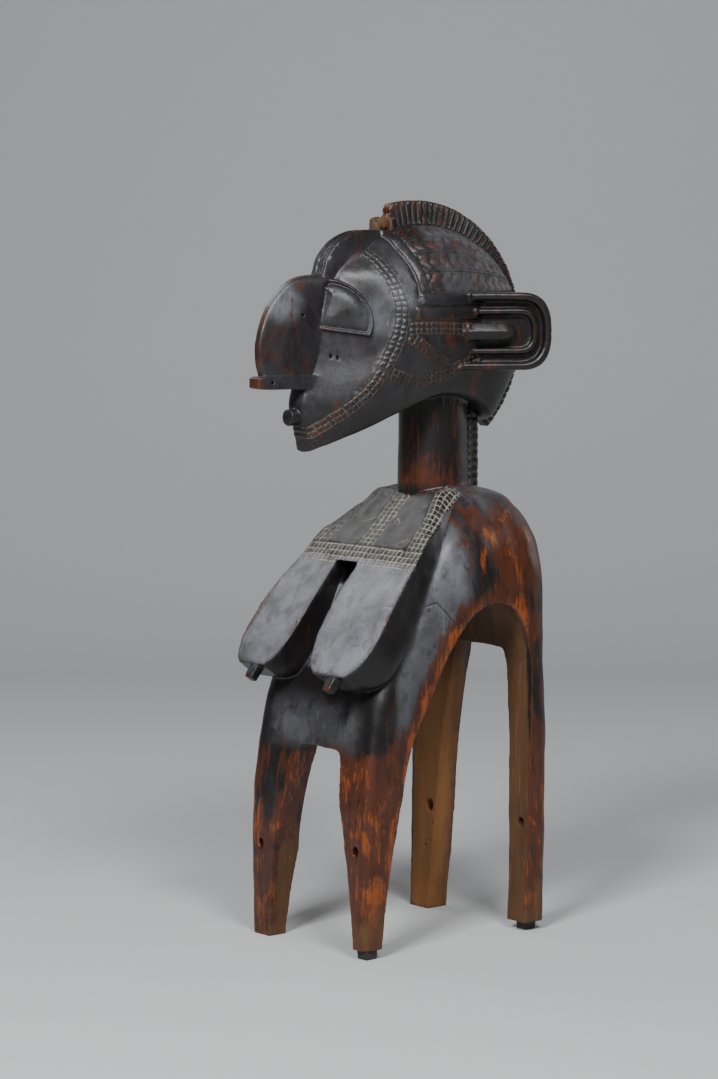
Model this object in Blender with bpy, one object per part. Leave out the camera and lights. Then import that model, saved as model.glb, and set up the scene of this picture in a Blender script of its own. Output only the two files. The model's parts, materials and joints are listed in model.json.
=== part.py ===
"""A wooden shoulder figure: a wedge-faced head with a fluted crest on a neck, a chest board with
two breasts, and a hollow yoke on four legs. Metres, +Z up, the face looks along -Y."""
import math

import bmesh
import bpy
import numpy as np

# Overall sizes. Y is 0 midway between the front and rear feet until the figure is set on its origin.
HEIGHT = 1.200
FEET_TO_ORIGIN = 0.016

# Body: half-width and depth of the yoke, wall of its hollow, and how much the left legs are short.
BODY_HALF_WIDTH = 0.150
BODY_FRONT = -0.191
BODY_REAR = 0.201
SHOULDER_TOP = 0.735
WALL = 0.038
LEFT_LEGS_SHORT = 0.015
CORD_HOLE_RADIUS = 0.0065
WORN_HOLE_RADIUS = 0.0090

# Openings between the legs.
FRONT_LINTEL = 0.325
REAR_LINTEL = 0.466
SIDE_ARCH_TOP = 0.549
SIDE_ARCH_FRONT = -0.156
SIDE_ARCH_REAR = 0.153
LEFT_FRONT_LEG_INSIDE = 0.117
LEFT_REAR_LEG_INSIDE = 0.101

# Foot blocks, with the clearance that keeps them apart from the wood above.
BLOCK_SIZE = 0.024
BLOCK_TAPER = 0.002
CLEARANCE = 0.0003

# Chest board and breasts.
BOARD_THICKNESS = 0.055
BREAST_DEPTH = 0.084
RIGHT_BREAST_EXTRA = 0.012
BREAST_GAP = 0.054
BREAST_GAP_X = -0.020
PEEPHOLE_TOP = 0.617
PEEPHOLE_HEIGHT = 0.042
NIPPLE_SIZE = 0.021
NIPPLE_REACH = 0.024
LEFT_NIPPLE_X = 0.096
RIGHT_NIPPLE_X = -0.103

# Neck.
NECK_RADIUS = 0.057
NECK_Y = 0.076
NECK_STRIP_HALF_WIDTH = 0.025
NECK_STRIP_REAR = 0.157
NECK_KNOB_Z = 0.769

# Head: its centre, the skull's arc about that centre, and its greatest half-width.
HEAD_Y = 0.020
HEAD_Z = 0.985
HEAD_HALF_WIDTH = 0.110
SKULL_Y = 0.0175
SKULL_Z = -0.0085
SKULL_REACH = 0.210
SKULL_RISE = 0.183

# Crest: its arc's centre behind the head's centre, then its reach and rise from that centre.
CREST_Y = 0.0141
CREST_REACH = 0.229
CREST_RISE = 0.2154
CREST_ROOT = 0.050
CREST_HALF_WIDTH = 0.012
CREST_FLUTES = 46
FLUTE_DEPTH = 0.003

# Bands, ribbon and hair.
BAND_WIDTH = 0.019
BAND_RISE = 0.003
RIBBON_WIDTH = 0.016
HAIR_AXIS_Z = 0.065
HAIR_STRIPS = 5
HAIR_TEETH = 9
HAIR_RISE = 0.004

# Nose, nostril flange and mouth peg.
NOSE_HALF_EDGE = 0.007
NOSE_HALF_ROOT = 0.021
FLANGE_HALF_WIDTH = 0.015
FLANGE_THICKNESS = 0.021
PEG_RADIUS = 0.0135

# Ears.
EAR_LENGTH = 0.136
EAR_HALF_HEIGHT = 0.063
EAR_PLATE = 0.010
EAR_RIM = 0.013
EAR_RISE = 0.016
EAR_SQUARENESS = 0.75


def new_collection(name):
    collection = bpy.data.collections.new(name)
    bpy.context.scene.collection.children.link(collection)
    return collection


def wood(name, colour, roughness):
    material = bpy.data.materials.new(name)
    material.use_nodes = True
    shader = material.node_tree.nodes["Principled BSDF"]
    shader.inputs["Base Color"].default_value = (*colour, 1.0)
    shader.inputs["Roughness"].default_value = roughness
    shader.inputs["Metallic"].default_value = 0.0
    return material


def add_object(name, bm, collection):
    """Turn a bmesh into an object with outward faces, shaded smooth except at its sharp edges."""
    bm.normal_update()
    bmesh.ops.recalc_face_normals(bm, faces=bm.faces)
    mesh = bpy.data.meshes.new(name)
    bm.to_mesh(mesh)
    bm.free()
    mesh.shade_smooth()
    mesh.set_sharp_from_angle(angle=math.radians(35))
    piece = bpy.data.objects.new(name, mesh)
    collection.objects.link(piece)
    return piece


def add_guide(name, bm, collection):
    piece = add_object(name, bm, collection)
    piece.hide_render = True
    piece.display_type = "WIRE"
    return piece


def loft(rings):
    """Skin a list of equal rings of points, with a flat cap on each end."""
    bm = bmesh.new()
    rows = [[bm.verts.new(point) for point in ring] for ring in rings]
    count = len(rows[0])
    for low, high in zip(rows, rows[1:]):
        for i in range(count):
            j = (i + 1) % count
            bm.faces.new((low[i], low[j], high[j], high[i]))
    bm.faces.new(rows[0][::-1])
    bm.faces.new(rows[-1])
    return bm


def smooth_path(points, steps):
    """A Catmull-Rom curve through the points, with `steps` spans between each two."""
    points = [np.array(p, dtype=float) for p in points]
    padded = [2 * points[0] - points[1]] + points + [2 * points[-1] - points[-2]]
    path = []
    for a, b, c, d in zip(padded, padded[1:], padded[2:], padded[3:]):
        for k in range(steps):
            t = k / steps
            path.append(0.5 * (2 * b + (c - a) * t + (2 * a - 5 * b + 4 * c - d) * t * t
                               + (3 * b - a - 3 * c + d) * t ** 3))
    path.append(points[-1])
    return path


def smooth_least(a, b, blend):
    """The lesser of two values, with a rounded change-over."""
    h = max(blend - abs(a - b), 0.0) / blend
    return min(a, b) - h * h * blend / 4


# Body
def body_sizes(z):
    """Half-width, front, rear and corner radius of the yoke at a height, from a few stations."""
    heights = (0.00, 0.25, 0.35, 0.41, 0.45, 0.49, 0.55, 0.61, 0.66, 0.70, 0.725, SHOULDER_TOP)
    half_widths = (-0.003, 0.0, 0.001, 0.001, 0.001, 0.002, 0.003, 0.000, -0.011, -0.034, -0.060, -0.084)
    fronts = (0.0, 0.003, 0.017, 0.029, 0.044, 0.067, 0.094, 0.126, 0.157, 0.190, 0.215, 0.240)
    rears = (-0.004, 0.001, 0.002, 0.003, 0.004, 0.006, 0.008, 0.010, 0.004, -0.015, -0.041, -0.074)
    corners = (0.014, 0.018, 0.024, 0.030, 0.036, 0.040, 0.048, 0.055, 0.060, 0.060, 0.050, 0.040)
    return (BODY_HALF_WIDTH + np.interp(z, heights, half_widths),
            BODY_FRONT + np.interp(z, heights, fronts),
            BODY_REAR + np.interp(z, heights, rears),
            np.interp(z, heights, corners))


def rounded_rectangle(half_width, front, rear, radius, z, corner_steps, side_steps):
    """One ring of points at a height: straight sides joined by round corners."""
    radius = min(radius, half_width * 0.98, (rear - front) * 0.49)
    centres = ((half_width - radius, rear - radius, 0), (radius - half_width, rear - radius, 90),
               (radius - half_width, front + radius, 180), (half_width - radius, front + radius, 270))
    ring = []
    for index, (x, y, start) in enumerate(centres):
        arc = []
        for k in range(corner_steps + 1):
            angle = math.radians(start + 90 * k / corner_steps)
            arc.append((x + radius * math.cos(angle), y + radius * math.sin(angle), z))
        if ring:
            ring += between(ring[-1], arc[0], side_steps)
        ring += arc
    return ring + between(ring[-1], ring[0], side_steps)


def between(start, end, steps):
    start, end = np.array(start), np.array(end)
    return [tuple(start + (end - start) * k / steps) for k in range(1, steps)]


def yoke():
    heights = (0.0, 0.13, 0.25, 0.35, 0.41, 0.45, 0.49, 0.55, 0.61, 0.66, 0.70, 0.725, SHOULDER_TOP)
    return loft([rounded_rectangle(*body_sizes(z), z, 4, 2) for z in heights])


def hollow():
    """The wearer's space: the yoke's own section less the wall, closing to a low dome."""
    stations = ((-0.02, 0.0, 0.0, 0.045), (0.25, 0.0, 0.0, 0.060), (0.38, 0.004, 0.0, 0.070),
                (0.46, 0.010, 0.004, 0.070), (0.52, 0.018, 0.014, 0.065), (0.57, 0.032, 0.026, 0.060),
                (0.61, 0.052, 0.046, 0.050), (0.63, 0.075, 0.070, 0.035))
    rings = []
    for z, side, ends, radius in stations:
        half_width, front, rear, _ = body_sizes(max(z, 0.0))
        rings.append(rounded_rectangle(half_width - WALL - side, front + WALL + 0.006 + ends,
                                       rear - WALL + 0.002 - ends, radius, z, 4, 2))
    return loft(rings)


def prism_along_y(outline, low, high):
    """A flat (x, z) outline pushed from `low` to `high` along Y."""
    return loft([[(x, y, z) for x, z in outline] for y in (low, high)])


def prism_along_x(outline, low, high):
    """A flat (y, z) outline pushed from `low` to `high` along X."""
    return loft([[(x, y, z) for y, z in outline] for x in (low, high)])


def opening_outline(left, right, top, corner, floor):
    """An opening's outline from side points (height, distance), with cut corners at its top."""
    side_a = [(x, z) for z, x in left]
    side_b = [(x, z) for z, x in right]
    xa, xb = side_a[-1][0], side_b[-1][0]
    crown = [(xa + corner * 0.3, top - corner * 0.35), (xa + corner, top), (xb - corner, top),
             (xb - corner * 0.3, top - corner * 0.35)]
    return [(side_a[0][0], floor)] + side_a + crown + side_b[::-1] + [(side_b[0][0], floor)]


def leg_openings():
    """Cutters for the gaps between the legs: front, rear, and the arch through both sides."""
    below = -0.03
    top = SIDE_ARCH_TOP
    front = opening_outline(
        ((0.02, -0.098), (0.14, -0.086), (0.20, -0.070), (0.25, -0.055), (0.30, -0.040)),
        ((0.02, LEFT_FRONT_LEG_INSIDE), (0.125, 0.106), (0.19, 0.093), (0.25, 0.079), (0.30, 0.074)),
        FRONT_LINTEL, 0.016, below)
    rear = opening_outline(
        ((0.03, -0.098), (0.155, -0.086), (0.305, -0.073), (0.372, -0.063), (0.44, -0.048)),
        ((0.03, LEFT_REAR_LEG_INSIDE), (0.155, 0.099), (0.305, 0.096), (0.372, 0.093), (0.44, 0.088)),
        REAR_LINTEL, 0.012, below)
    side = smooth_path([(SIDE_ARCH_FRONT, 0.005), (-0.143, 0.108), (-0.131, 0.171), (-0.115, 0.249),
                        (-0.096, 0.329), (-0.069, top - 0.167), (-0.014, top - 0.071),
                        (0.037, top - 0.015), (0.088, top), (0.136, top - 0.025),
                        (0.158, top - 0.088), (0.161, 0.385), (0.158, 0.200), (SIDE_ARCH_REAR, 0.020)], 2)
    side = [(SIDE_ARCH_FRONT, below)] + [tuple(p) for p in side] + [(SIDE_ARCH_REAR, below)]
    reach = BODY_HALF_WIDTH + 0.05
    return {
        "front_opening": prism_along_y(front, BODY_FRONT - 0.05, BODY_FRONT + 0.13),
        "rear_opening": prism_along_y(rear, BODY_REAR - 0.15, BODY_REAR + 0.05),
        "side_arches": prism_along_x(side, -reach, reach),
    }


def rod(radius, sides, centre, axis, half_length, squash=1.0):
    """A round cutter or peg along Y or Z."""
    bm = bmesh.new()
    bmesh.ops.create_cone(bm, cap_ends=True, segments=sides, radius1=radius, radius2=radius,
                          depth=2 * half_length)
    for vertex in bm.verts:
        x, y, z = vertex.co
        moved = (x, z, y * squash) if axis == "Y" else (x, y * squash, z)
        vertex.co = tuple(c + m for c, m in zip(centre, moved))
    return bm


def box(low, high):
    bm = bmesh.new()
    bmesh.ops.create_cube(bm, size=1.0)
    for vertex in bm.verts:
        vertex.co = tuple(lo + (c + 0.5) * (hi - lo) for lo, hi, c in zip(low, high, vertex.co))
    return bm


# Chest board
def board_line(t):
    """Point of the board's top on the middle plane, and its half-width, from neck (0) to tips (1)."""
    stations = (0.0, 0.12, 0.26, 0.42, 0.50, 0.63, 0.76, 0.89, 1.0)
    ys = (0.075, 0.028, -0.015, -0.061, -0.081, -0.118, -0.153, -0.185, -0.217)
    zs = (0.724, 0.709, 0.681, 0.648, 0.626, 0.584, 0.541, 0.496, 0.451)
    halves = (0.086, 0.104, 0.124, 0.139, 0.142, 0.149, 0.156, 0.163, 0.166)
    return tuple(float(np.interp(t, stations, values)) for values in (ys, zs, halves))


def board_frame(t):
    """The top point, half-width and the unit normal of the board at t."""
    y, z, half = board_line(t)
    y1, z1, _ = board_line(min(t + 0.02, 1.0))
    y0, z0, _ = board_line(max(t - 0.02, 0.0))
    length = math.hypot(y1 - y0, z1 - z0)
    return y, z, half, (z1 - z0) / length, (y0 - y1) / length


def board():
    """The upper chest board, from the neck down to the tops of the breasts."""
    rings = []
    for t in (0.0, 0.12, 0.26, 0.42, 0.54):
        y, z, half, ny, nz = board_frame(t)
        dy, dz = -BOARD_THICKNESS * ny, -BOARD_THICKNESS * nz
        rings.append([(-half, y, z), (-half * 0.4, y, z + 0.002), (half * 0.4, y, z + 0.002),
                      (half, y, z), (half, y + dy, z + dz), (-half, y + dy, z + dz)])
    return loft(rings)


def breast(inner, outer):
    """One breast: a long lobe with a flat top, upright walls, and a round end and underside."""
    rings = []
    sections = ((0.49, 0.0, 0.80), (0.60, 0.0, 0.90), (0.70, 0.0, 1.0), (0.80, 0.01, 1.0), (0.87, 0.06, 0.98),
                (0.93, 0.16, 0.91), (0.975, 0.32, 0.76), (1.0, 0.52, 0.50))
    for t, inset, depth in sections:
        y, z, half, ny, nz = board_frame(t)
        edge = math.copysign(half, outer)
        if outer < 0:
            edge -= RIGHT_BREAST_EXTRA * min((t - 0.49) / 0.2, 1.0)
        shift = inset * (edge - inner) / 2
        a, b = inner + shift, edge - shift
        thick = BREAST_DEPTH * depth
        ring = []
        for share, sink in ((0.0, 0.0), (0.5, -0.03), (1.0, 0.0), (1.0, 0.70), (0.90, 0.90), (0.5, 1.02),
                            (0.10, 0.90), (0.0, 0.70)):
            ring.append((a + (b - a) * share, y - thick * sink * ny, z - thick * sink * nz))
        rings.append(ring)
    return loft(rings)


def nipple(x):
    """A square stub that hangs from the tip of a breast."""
    y, z, _, ny, nz = board_frame(1.0)
    half = NIPPLE_SIZE / 2
    rings = []
    for reach, size in ((-0.03, 1.0), (NIPPLE_REACH * 0.5, 0.92), (NIPPLE_REACH, 0.8)):
        py, pz = y + nz * -reach, z + ny * reach
        rings.append([(x - half * size, py, pz), (x + half * size, py, pz),
                      (x + half * size, py - 0.016 * ny, pz - 0.016 * nz),
                      (x - half * size, py - 0.016 * ny, pz - 0.016 * nz)])
    return loft(rings)


# Head
def head_outline():
    """The head's side outline about its centre: (y, z, bluntness), round skull first."""
    points = []
    for k in range(19):
        angle = math.radians(-20 + 147.4 * k / 18)
        points.append((SKULL_Y + SKULL_REACH * math.cos(angle), SKULL_Z + SKULL_RISE * math.sin(angle), 2.0))
    face = [(-0.145, 0.122, 2.6), (-0.170, 0.100, 3.5), (-0.190, 0.055, 5.0), (-0.198, 0.015, 6.0),
            (-0.208, -0.035, 7.0), (-0.226, -0.080, 8.0), (-0.235, -0.113, 8.0), (-0.226, -0.144, 8.0),
            (-0.217, -0.186, 9.0), (-0.195, -0.1765, 10.0), (-0.167, -0.167, 10.0), (-0.134, -0.1555, 10.0),
            (-0.101, -0.144, 10.0), (-0.070, -0.131, 10.0), (-0.040, -0.119, 10.0), (-0.008, -0.109, 9.0),
            (0.025, -0.105, 8.0), (0.058, -0.108, 7.0), (0.090, -0.117, 6.0), (0.120, -0.131, 5.0),
            (0.150, -0.147, 3.5), (0.172, -0.125, 2.8), (0.189, -0.102, 2.4)]
    return points + face


def polar_tables():
    """Reach and bluntness of the head's outline by direction from its centre."""
    outline = head_outline()
    angles, reaches, blunts = [], [], []
    for (y0, z0, b0), (y1, z1, b1) in zip(outline, outline[1:] + outline[:1]):
        for k in range(8):
            t = k / 8
            y, z = y0 + (y1 - y0) * t, z0 + (z1 - z0) * t
            angles.append(math.atan2(z, y))
            reaches.append(math.hypot(y, z))
            blunts.append(b0 + (b1 - b0) * t)
    order = np.argsort(angles)
    return np.array(angles)[order], np.array(reaches)[order], np.array(blunts)[order]


POLAR = polar_tables()


def head_half_width(y, z):
    """Half-width of the head at a place of its side view, about the head's centre."""
    angle = math.atan2(z, y)
    reach = np.interp(angle, POLAR[0], POLAR[1], period=2 * math.pi)
    blunt = np.interp(angle, POLAR[0], POLAR[2], period=2 * math.pi)
    share = min(math.hypot(y, z) / reach, 1.0)
    dome = HEAD_HALF_WIDTH * 1.02 * math.sqrt(max(1.0 - share ** blunt, 0.0))
    face_line = np.interp(z, (-0.186, -0.144, -0.113, -0.080, -0.035, 0.015, 0.055, 0.100, 0.140),
                          (-0.217, -0.226, -0.235, -0.226, -0.208, -0.198, -0.190, -0.170, -0.120))
    wedge = 0.017 + 0.66 * (y - face_line)
    taper = HEAD_HALF_WIDTH + 0.42 * min(z + 0.015, 0.0)
    return smooth_least(smooth_least(dome, max(wedge, 0.0), 0.03), taper, 0.02)


def on_head(y, z, side, lift=0.0):
    """A point on the head's side, raised by `lift` along the surface's normal."""
    step = 0.004
    width = head_half_width(y, z)
    slope_y = (head_half_width(y + step, z) - head_half_width(y - step, z)) / (2 * step)
    slope_z = (head_half_width(y, z + step) - head_half_width(y, z - step)) / (2 * step)
    slope_y, slope_z = (max(min(s, 2.5), -2.5) for s in (slope_y, slope_z))
    length = math.sqrt(1 + slope_y ** 2 + slope_z ** 2)
    x = width + lift / length
    return (side * x, HEAD_Y + y - lift * slope_y / length, HEAD_Z + z - lift * slope_z / length)


def skull():
    """The head's core: a sphere whose rings follow the outline and whose poles are the cheeks."""
    outline = head_outline()
    shares = (0.0, 0.30, 0.52, 0.70, 0.84, 0.93, 0.98, 1.0)
    rows = 2 * (len(shares) - 1)
    bm = bmesh.new()
    bmesh.ops.create_uvsphere(bm, u_segments=len(outline), v_segments=rows, radius=1.0)
    for vertex in bm.verts:
        a, b, c = vertex.co
        row = round(math.acos(max(min(c, 1.0), -1.0)) / math.pi * rows)
        column = round(math.atan2(b, a) / (2 * math.pi) * len(outline)) % len(outline)
        side = 1 if row <= rows / 2 else -1
        share = shares[row if side > 0 else rows - row]
        y, z, _ = outline[column]
        width = head_half_width(y * share, z * share) if share < 1.0 else 0.0
        vertex.co = (side * width, HEAD_Y + y * share, HEAD_Z + z * share)
    return bm


def strip(path, side, width, profile):
    """A raised strip along a path on the head's side; the profile is (place across, rise)."""
    path = [np.array(p, dtype=float) for p in path]
    rings = []
    for i, point in enumerate(path):
        along = path[min(i + 1, len(path) - 1)] - path[max(i - 1, 0)]
        along /= np.linalg.norm(along)
        across = np.array((-along[1], along[0]))
        ring = []
        for place, rise in profile:
            y, z = point + across * place * width
            ring.append(on_head(y, z, side, rise))
        rings.append(ring)
    return loft(rings)


def bands():
    """The ladder bands of one cheek: temple, jaw, level, slanting and lower."""
    temple = smooth_path([(-0.110, 0.132), (-0.102, 0.116), (-0.093, 0.089), (-0.086, 0.060),
                          (-0.085, 0.028), (-0.092, -0.004), (-0.104, -0.032), (-0.116, -0.054)], 2)
    jaw = smooth_path([(-0.124, -0.068), (-0.137, -0.087), (-0.162, -0.108), (-0.190, -0.129),
                       (-0.216, -0.147)], 2)
    level = smooth_path([(-0.076, 0.010), (-0.020, 0.010), (0.070, 0.005)], 3)
    slant = smooth_path([(-0.076, -0.003), (-0.038, -0.029), (0.006, -0.053)], 2)
    lower = smooth_path([(-0.104, -0.066), (-0.085, -0.069), (-0.050, -0.075), (-0.015, -0.071),
                         (0.020, -0.056), (0.070, -0.039)], 2)
    return {"temple": temple, "jaw": jaw, "level": level, "slant": slant, "lower": lower}


def band_profile(rise):
    """Two raised rows with a groove between them, and a buried underside."""
    return ((-0.5, -0.006), (-0.36, rise), (0.0, rise * 0.2), (0.36, rise), (0.5, -0.006))


def hair_point(turn, y, lift, side):
    """A point of the hair: turned by `turn` about the hair's axis, at a depth y."""
    low, high = 0.0, 0.30
    for _ in range(24):
        middle = (low + high) / 2
        inside = middle * math.cos(turn) < head_half_width(y, HAIR_AXIS_Z + middle * math.sin(turn))
        inside = inside and within_outline(y, HAIR_AXIS_Z + middle * math.sin(turn))
        low, high = (middle, high) if inside else (low, middle)
    reach = low + lift
    return (side * reach * math.cos(turn), HEAD_Y + y, HEAD_Z + HAIR_AXIS_Z + reach * math.sin(turn))


def within_outline(y, z):
    reach = np.interp(math.atan2(z, y), POLAR[0], POLAR[1], period=2 * math.pi)
    return math.hypot(y, z) < reach


def ribbon_line(turn):
    """Depth of the hairline ribbon at a turn about the hair's axis."""
    return -0.044 - 0.018 * math.sin(turn) ** 2


def hair_strip(index, side):
    """One herringbone strip, from the ribbon back to the pole, with V-shaped teeth."""
    edges = [math.radians(87) * (1 - (1 - k / HAIR_STRIPS) ** 1.28) for k in range(HAIR_STRIPS + 1)]
    gap = math.radians(1.3)
    low, high = edges[index] + gap, edges[index + 1] - gap
    middle = (low + high) / 2
    end = 0.196
    rings = []
    for row in range(2 * HAIR_TEETH + 1):
        tooth, back = divmod(row, 2)
        share = (tooth + (0.88 if back else 0.0)) / HAIR_TEETH
        share = min(share, 1.0)
        ring = []
        for turn, lag in ((low, 1.0), (middle, 0.0), (high, 1.0)):
            start = ribbon_line(turn) + RIBBON_WIDTH * 0.5
            y = start + (end - 0.012 - start) * share + 0.010 * lag
            lift = HAIR_RISE * (1.0 if back else 0.25)
            ring.append(hair_point(turn, y, lift, side))
        for turn, lag in ((high, 1.0), (low, 1.0)):
            start = ribbon_line(turn) + RIBBON_WIDTH * 0.5
            y = start + (end - 0.012 - start) * share + 0.010 * lag
            ring.append(hair_point(turn, y, -0.008, side))
        rings.append(ring)
    return loft(rings)


def ribbon(side):
    """The plain ribbon that frames the hair, over the head and back to the ear."""
    rings = []
    for k in range(8):
        turn = math.radians(86 - 86 * k / 7)
        y = ribbon_line(turn)
        half = RIBBON_WIDTH * 0.5
        rings.append([hair_point(turn, y - half, -0.006, side), hair_point(turn, y - half * 0.9, 0.0035, side),
                      hair_point(turn, y + half * 0.9, 0.0035, side), hair_point(turn, y + half, -0.006, side)])
    return loft(rings)


def ear_ribbon(side):
    path = smooth_path([(ribbon_line(0.0) - 0.008, 0.057), (0.0, 0.056), (0.070, 0.055)], 3)
    return strip(path, side, 0.019, ((-0.5, -0.006), (-0.45, 0.0035), (0.45, 0.0035), (0.5, -0.006)))


def pad(outline, side, layers):
    """A raised patch: layers of (share of the outline, rise), closed by a crown."""
    outline = [np.array(p, dtype=float) for p in outline]
    centre = sum(outline) / len(outline)
    rings = []
    for share, rise in layers:
        rings.append([on_head(*(centre + (p - centre) * share), side, rise) for p in outline])
    return loft(rings)


def eye_outline():
    """A half-disc: a round lid above and a straight lower rim."""
    arc = smooth_path([(-0.196, 0.084), (-0.175, 0.087), (-0.156, 0.080), (-0.139, 0.064), (-0.128, 0.040),
                       (-0.125, 0.018), (-0.130, -0.004)], 2)
    return [tuple(p) for p in arc] + [(-0.160, 0.001), (-0.190, 0.006), (-0.206, 0.010)]


def nose():
    """The nose: a blade whose front edge is a half-disc, thicker where it meets the cheeks."""
    front = smooth_path([(-0.186, 0.096), (-0.228, 0.091), (-0.257, 0.077), (-0.283, 0.051), (-0.299, 0.022),
                         (-0.309, -0.012), (-0.309, -0.040), (-0.302, -0.066)], 2)
    crease = smooth_path([(-0.150, 0.092), (-0.190, 0.082), (-0.196, 0.066), (-0.199, 0.045), (-0.199, 0.016),
                          (-0.202, -0.014), (-0.210, -0.040), (-0.224, -0.072)], 2)
    rings = []
    for (fy, fz), (cy, cz) in zip(front, crease):
        ring = []
        for share, width in ((0.0, NOSE_HALF_EDGE * 0.8), (0.12, NOSE_HALF_EDGE * 1.4),
                             (1.0, NOSE_HALF_ROOT), (1.35, NOSE_HALF_ROOT * 0.8)):
            ring.append((width, fy + (cy - fy) * share, fz + (cz - fz) * share))
        mirrored = [(-x, y, z) for x, y, z in ring[::-1]]
        rings.append([(x, HEAD_Y + y, HEAD_Z + z) for x, y, z in ring + mirrored])
    return loft(rings)


def flange():
    """The nostril plate below the nose, a level bar with a worn round tip."""
    rings = []
    top = -0.064
    for y, half, drop in ((-0.205, 0.026, 0.0), (-0.235, 0.021, 0.0), (-0.285, FLANGE_HALF_WIDTH, 0.0),
                          (-0.305, FLANGE_HALF_WIDTH, 0.001), (-0.315, FLANGE_HALF_WIDTH * 0.8, 0.003)):
        high, low = top - drop, top - FLANGE_THICKNESS + drop
        ring = [(-half, y, high), (half, y, high), (half, y, low), (-half, y, low)]
        rings.append([(x, HEAD_Y + py, HEAD_Z + z) for x, py, z in ring])
    return loft(rings)


def brow_ridge():
    """The thick arch over the forehead, grooved along its front edge."""
    outer = smooth_path([(-0.052, 0.163), (-0.082, 0.167), (-0.116, 0.165), (-0.152, 0.150), (-0.178, 0.124),
                         (-0.190, 0.092)], 2)
    inner = smooth_path([(-0.055, 0.120), (-0.080, 0.122), (-0.105, 0.118), (-0.130, 0.104), (-0.148, 0.086),
                         (-0.155, 0.066)], 2)
    rings = []
    for (oy, oz), (iy, iz) in zip(outer, inner):
        ring = []
        for share, half in ((0.03, 0.0), (0.10, 0.0035), (0.0, 0.0075), (0.08, 0.0105), (0.02, 0.0155),
                            (0.62, 0.021), (1.0, 0.034)):
            ring.append((half, oy + (iy - oy) * share, oz + (iz - oz) * share))
        mirrored = [(-x, y, z) for x, y, z in ring[:0:-1]]
        rings.append([(x, HEAD_Y + y, HEAD_Z + z) for x, y, z in ring + mirrored])
    return loft(rings)


def crest_place(angle, rise):
    """A point of the crest's middle plane: `rise` inward from its outer edge at an angle."""
    y = CREST_Y + (CREST_REACH - rise) * math.cos(angle)
    z = HEIGHT - HEAD_Z - CREST_RISE + (CREST_RISE - rise) * math.sin(angle)
    return HEAD_Y + y, HEAD_Z + z


def crest():
    """The fluted fin from its broken front end, over the head and down to the nape."""
    start, end = math.radians(104), math.radians(-47)
    rings = []
    for k in range(2 * CREST_FLUTES + 1):
        angle = start + (end - start) * k / (2 * CREST_FLUTES)
        groove = FLUTE_DEPTH if k % 2 else 0.0
        outer_y, outer_z = crest_place(angle, groove * 0.5)
        inner_y, inner_z = crest_place(angle, CREST_ROOT)
        half = CREST_HALF_WIDTH - groove
        rings.append([(half * 0.85, outer_y, outer_z), (-half * 0.85, outer_y, outer_z),
                      (-half - 0.001, inner_y, inner_z), (half + 0.001, inner_y, inner_z)])
    return loft(rings)


def broken_end():
    """The torn stub in front of the crest's end."""
    y, z = crest_place(math.radians(104), 0.0)
    rings = []
    for reach, height, half in ((-0.012, 0.030, 0.012), (0.006, 0.030, 0.011), (0.014, 0.034, 0.012),
                                (0.036, 0.036, 0.010)):
        top = z - height
        rings.append([(half, y - reach, top), (-half * 0.8, y - reach, top + 0.002),
                      (-half, y - reach, top - 0.03), (half, y - reach, top - 0.03)])
    return loft(rings)


# Ears
def ear_point(side, along, height, lift):
    """A point of an ear's own frame: along its length, up, and out of its face."""
    root_x, root_y, root_z = 0.092, 0.052, 0.003
    dir_x, dir_y = 0.5, 0.866
    return (side * (root_x + along * dir_x + lift * dir_y), HEAD_Y + root_y + along * dir_y - lift * dir_x,
            HEAD_Z + root_z + height)


def u_path(length, half_height, start, steps):
    """A U lying on its side: two level arms joined by a half round."""
    radius = half_height * 0.85
    centre = length - radius
    path = [(start, half_height)]
    for k in range(steps + 1):
        angle = math.pi / 2 - math.pi * k / steps
        across = abs(math.cos(angle)) ** EAR_SQUARENESS
        up = math.copysign(abs(math.sin(angle)) ** EAR_SQUARENESS, math.sin(angle))
        path.append((centre + radius * across, half_height * up))
    return path + [(start, -half_height)]


def ear_plate(side):
    outline = u_path(EAR_LENGTH - 0.002, EAR_HALF_HEIGHT - 0.002, -0.02, 10)
    return loft([[ear_point(side, a, b, depth) for a, b in outline] for depth in (-EAR_PLATE, 0.0)])


def ear_rail(side, length, half_height, width, rise, steps):
    """A raised U-shaped rail on the ear's plate."""
    outer = u_path(length, half_height, -0.02, steps)
    inner = u_path(length - width, half_height - width, -0.02, steps)
    rings = []
    for (ao, bo), (ai, bi) in zip(outer, inner):
        ring = []
        for share, lift in ((0.0, -EAR_PLATE * 0.5), (0.04, rise * 0.8), (0.3, rise), (0.7, rise),
                            (0.96, rise * 0.8), (1.0, -EAR_PLATE * 0.5)):
            ring.append(ear_point(side, ao + (ai - ao) * share, bo + (bi - bo) * share, lift))
        rings.append(ring)
    return loft(rings)


def ear_boss(side):
    """The faceted peg that lies in the middle of the ear."""
    rings = []
    for along, radius in ((-0.02, 0.0155), (0.058, 0.0155), (0.073, 0.011)):
        rings.append([ear_point(side, along, radius * math.cos(math.radians(60 * k + 30)),
                                0.011 + radius * math.sin(math.radians(60 * k + 30))) for k in range(6)])
    return loft(rings)


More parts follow.
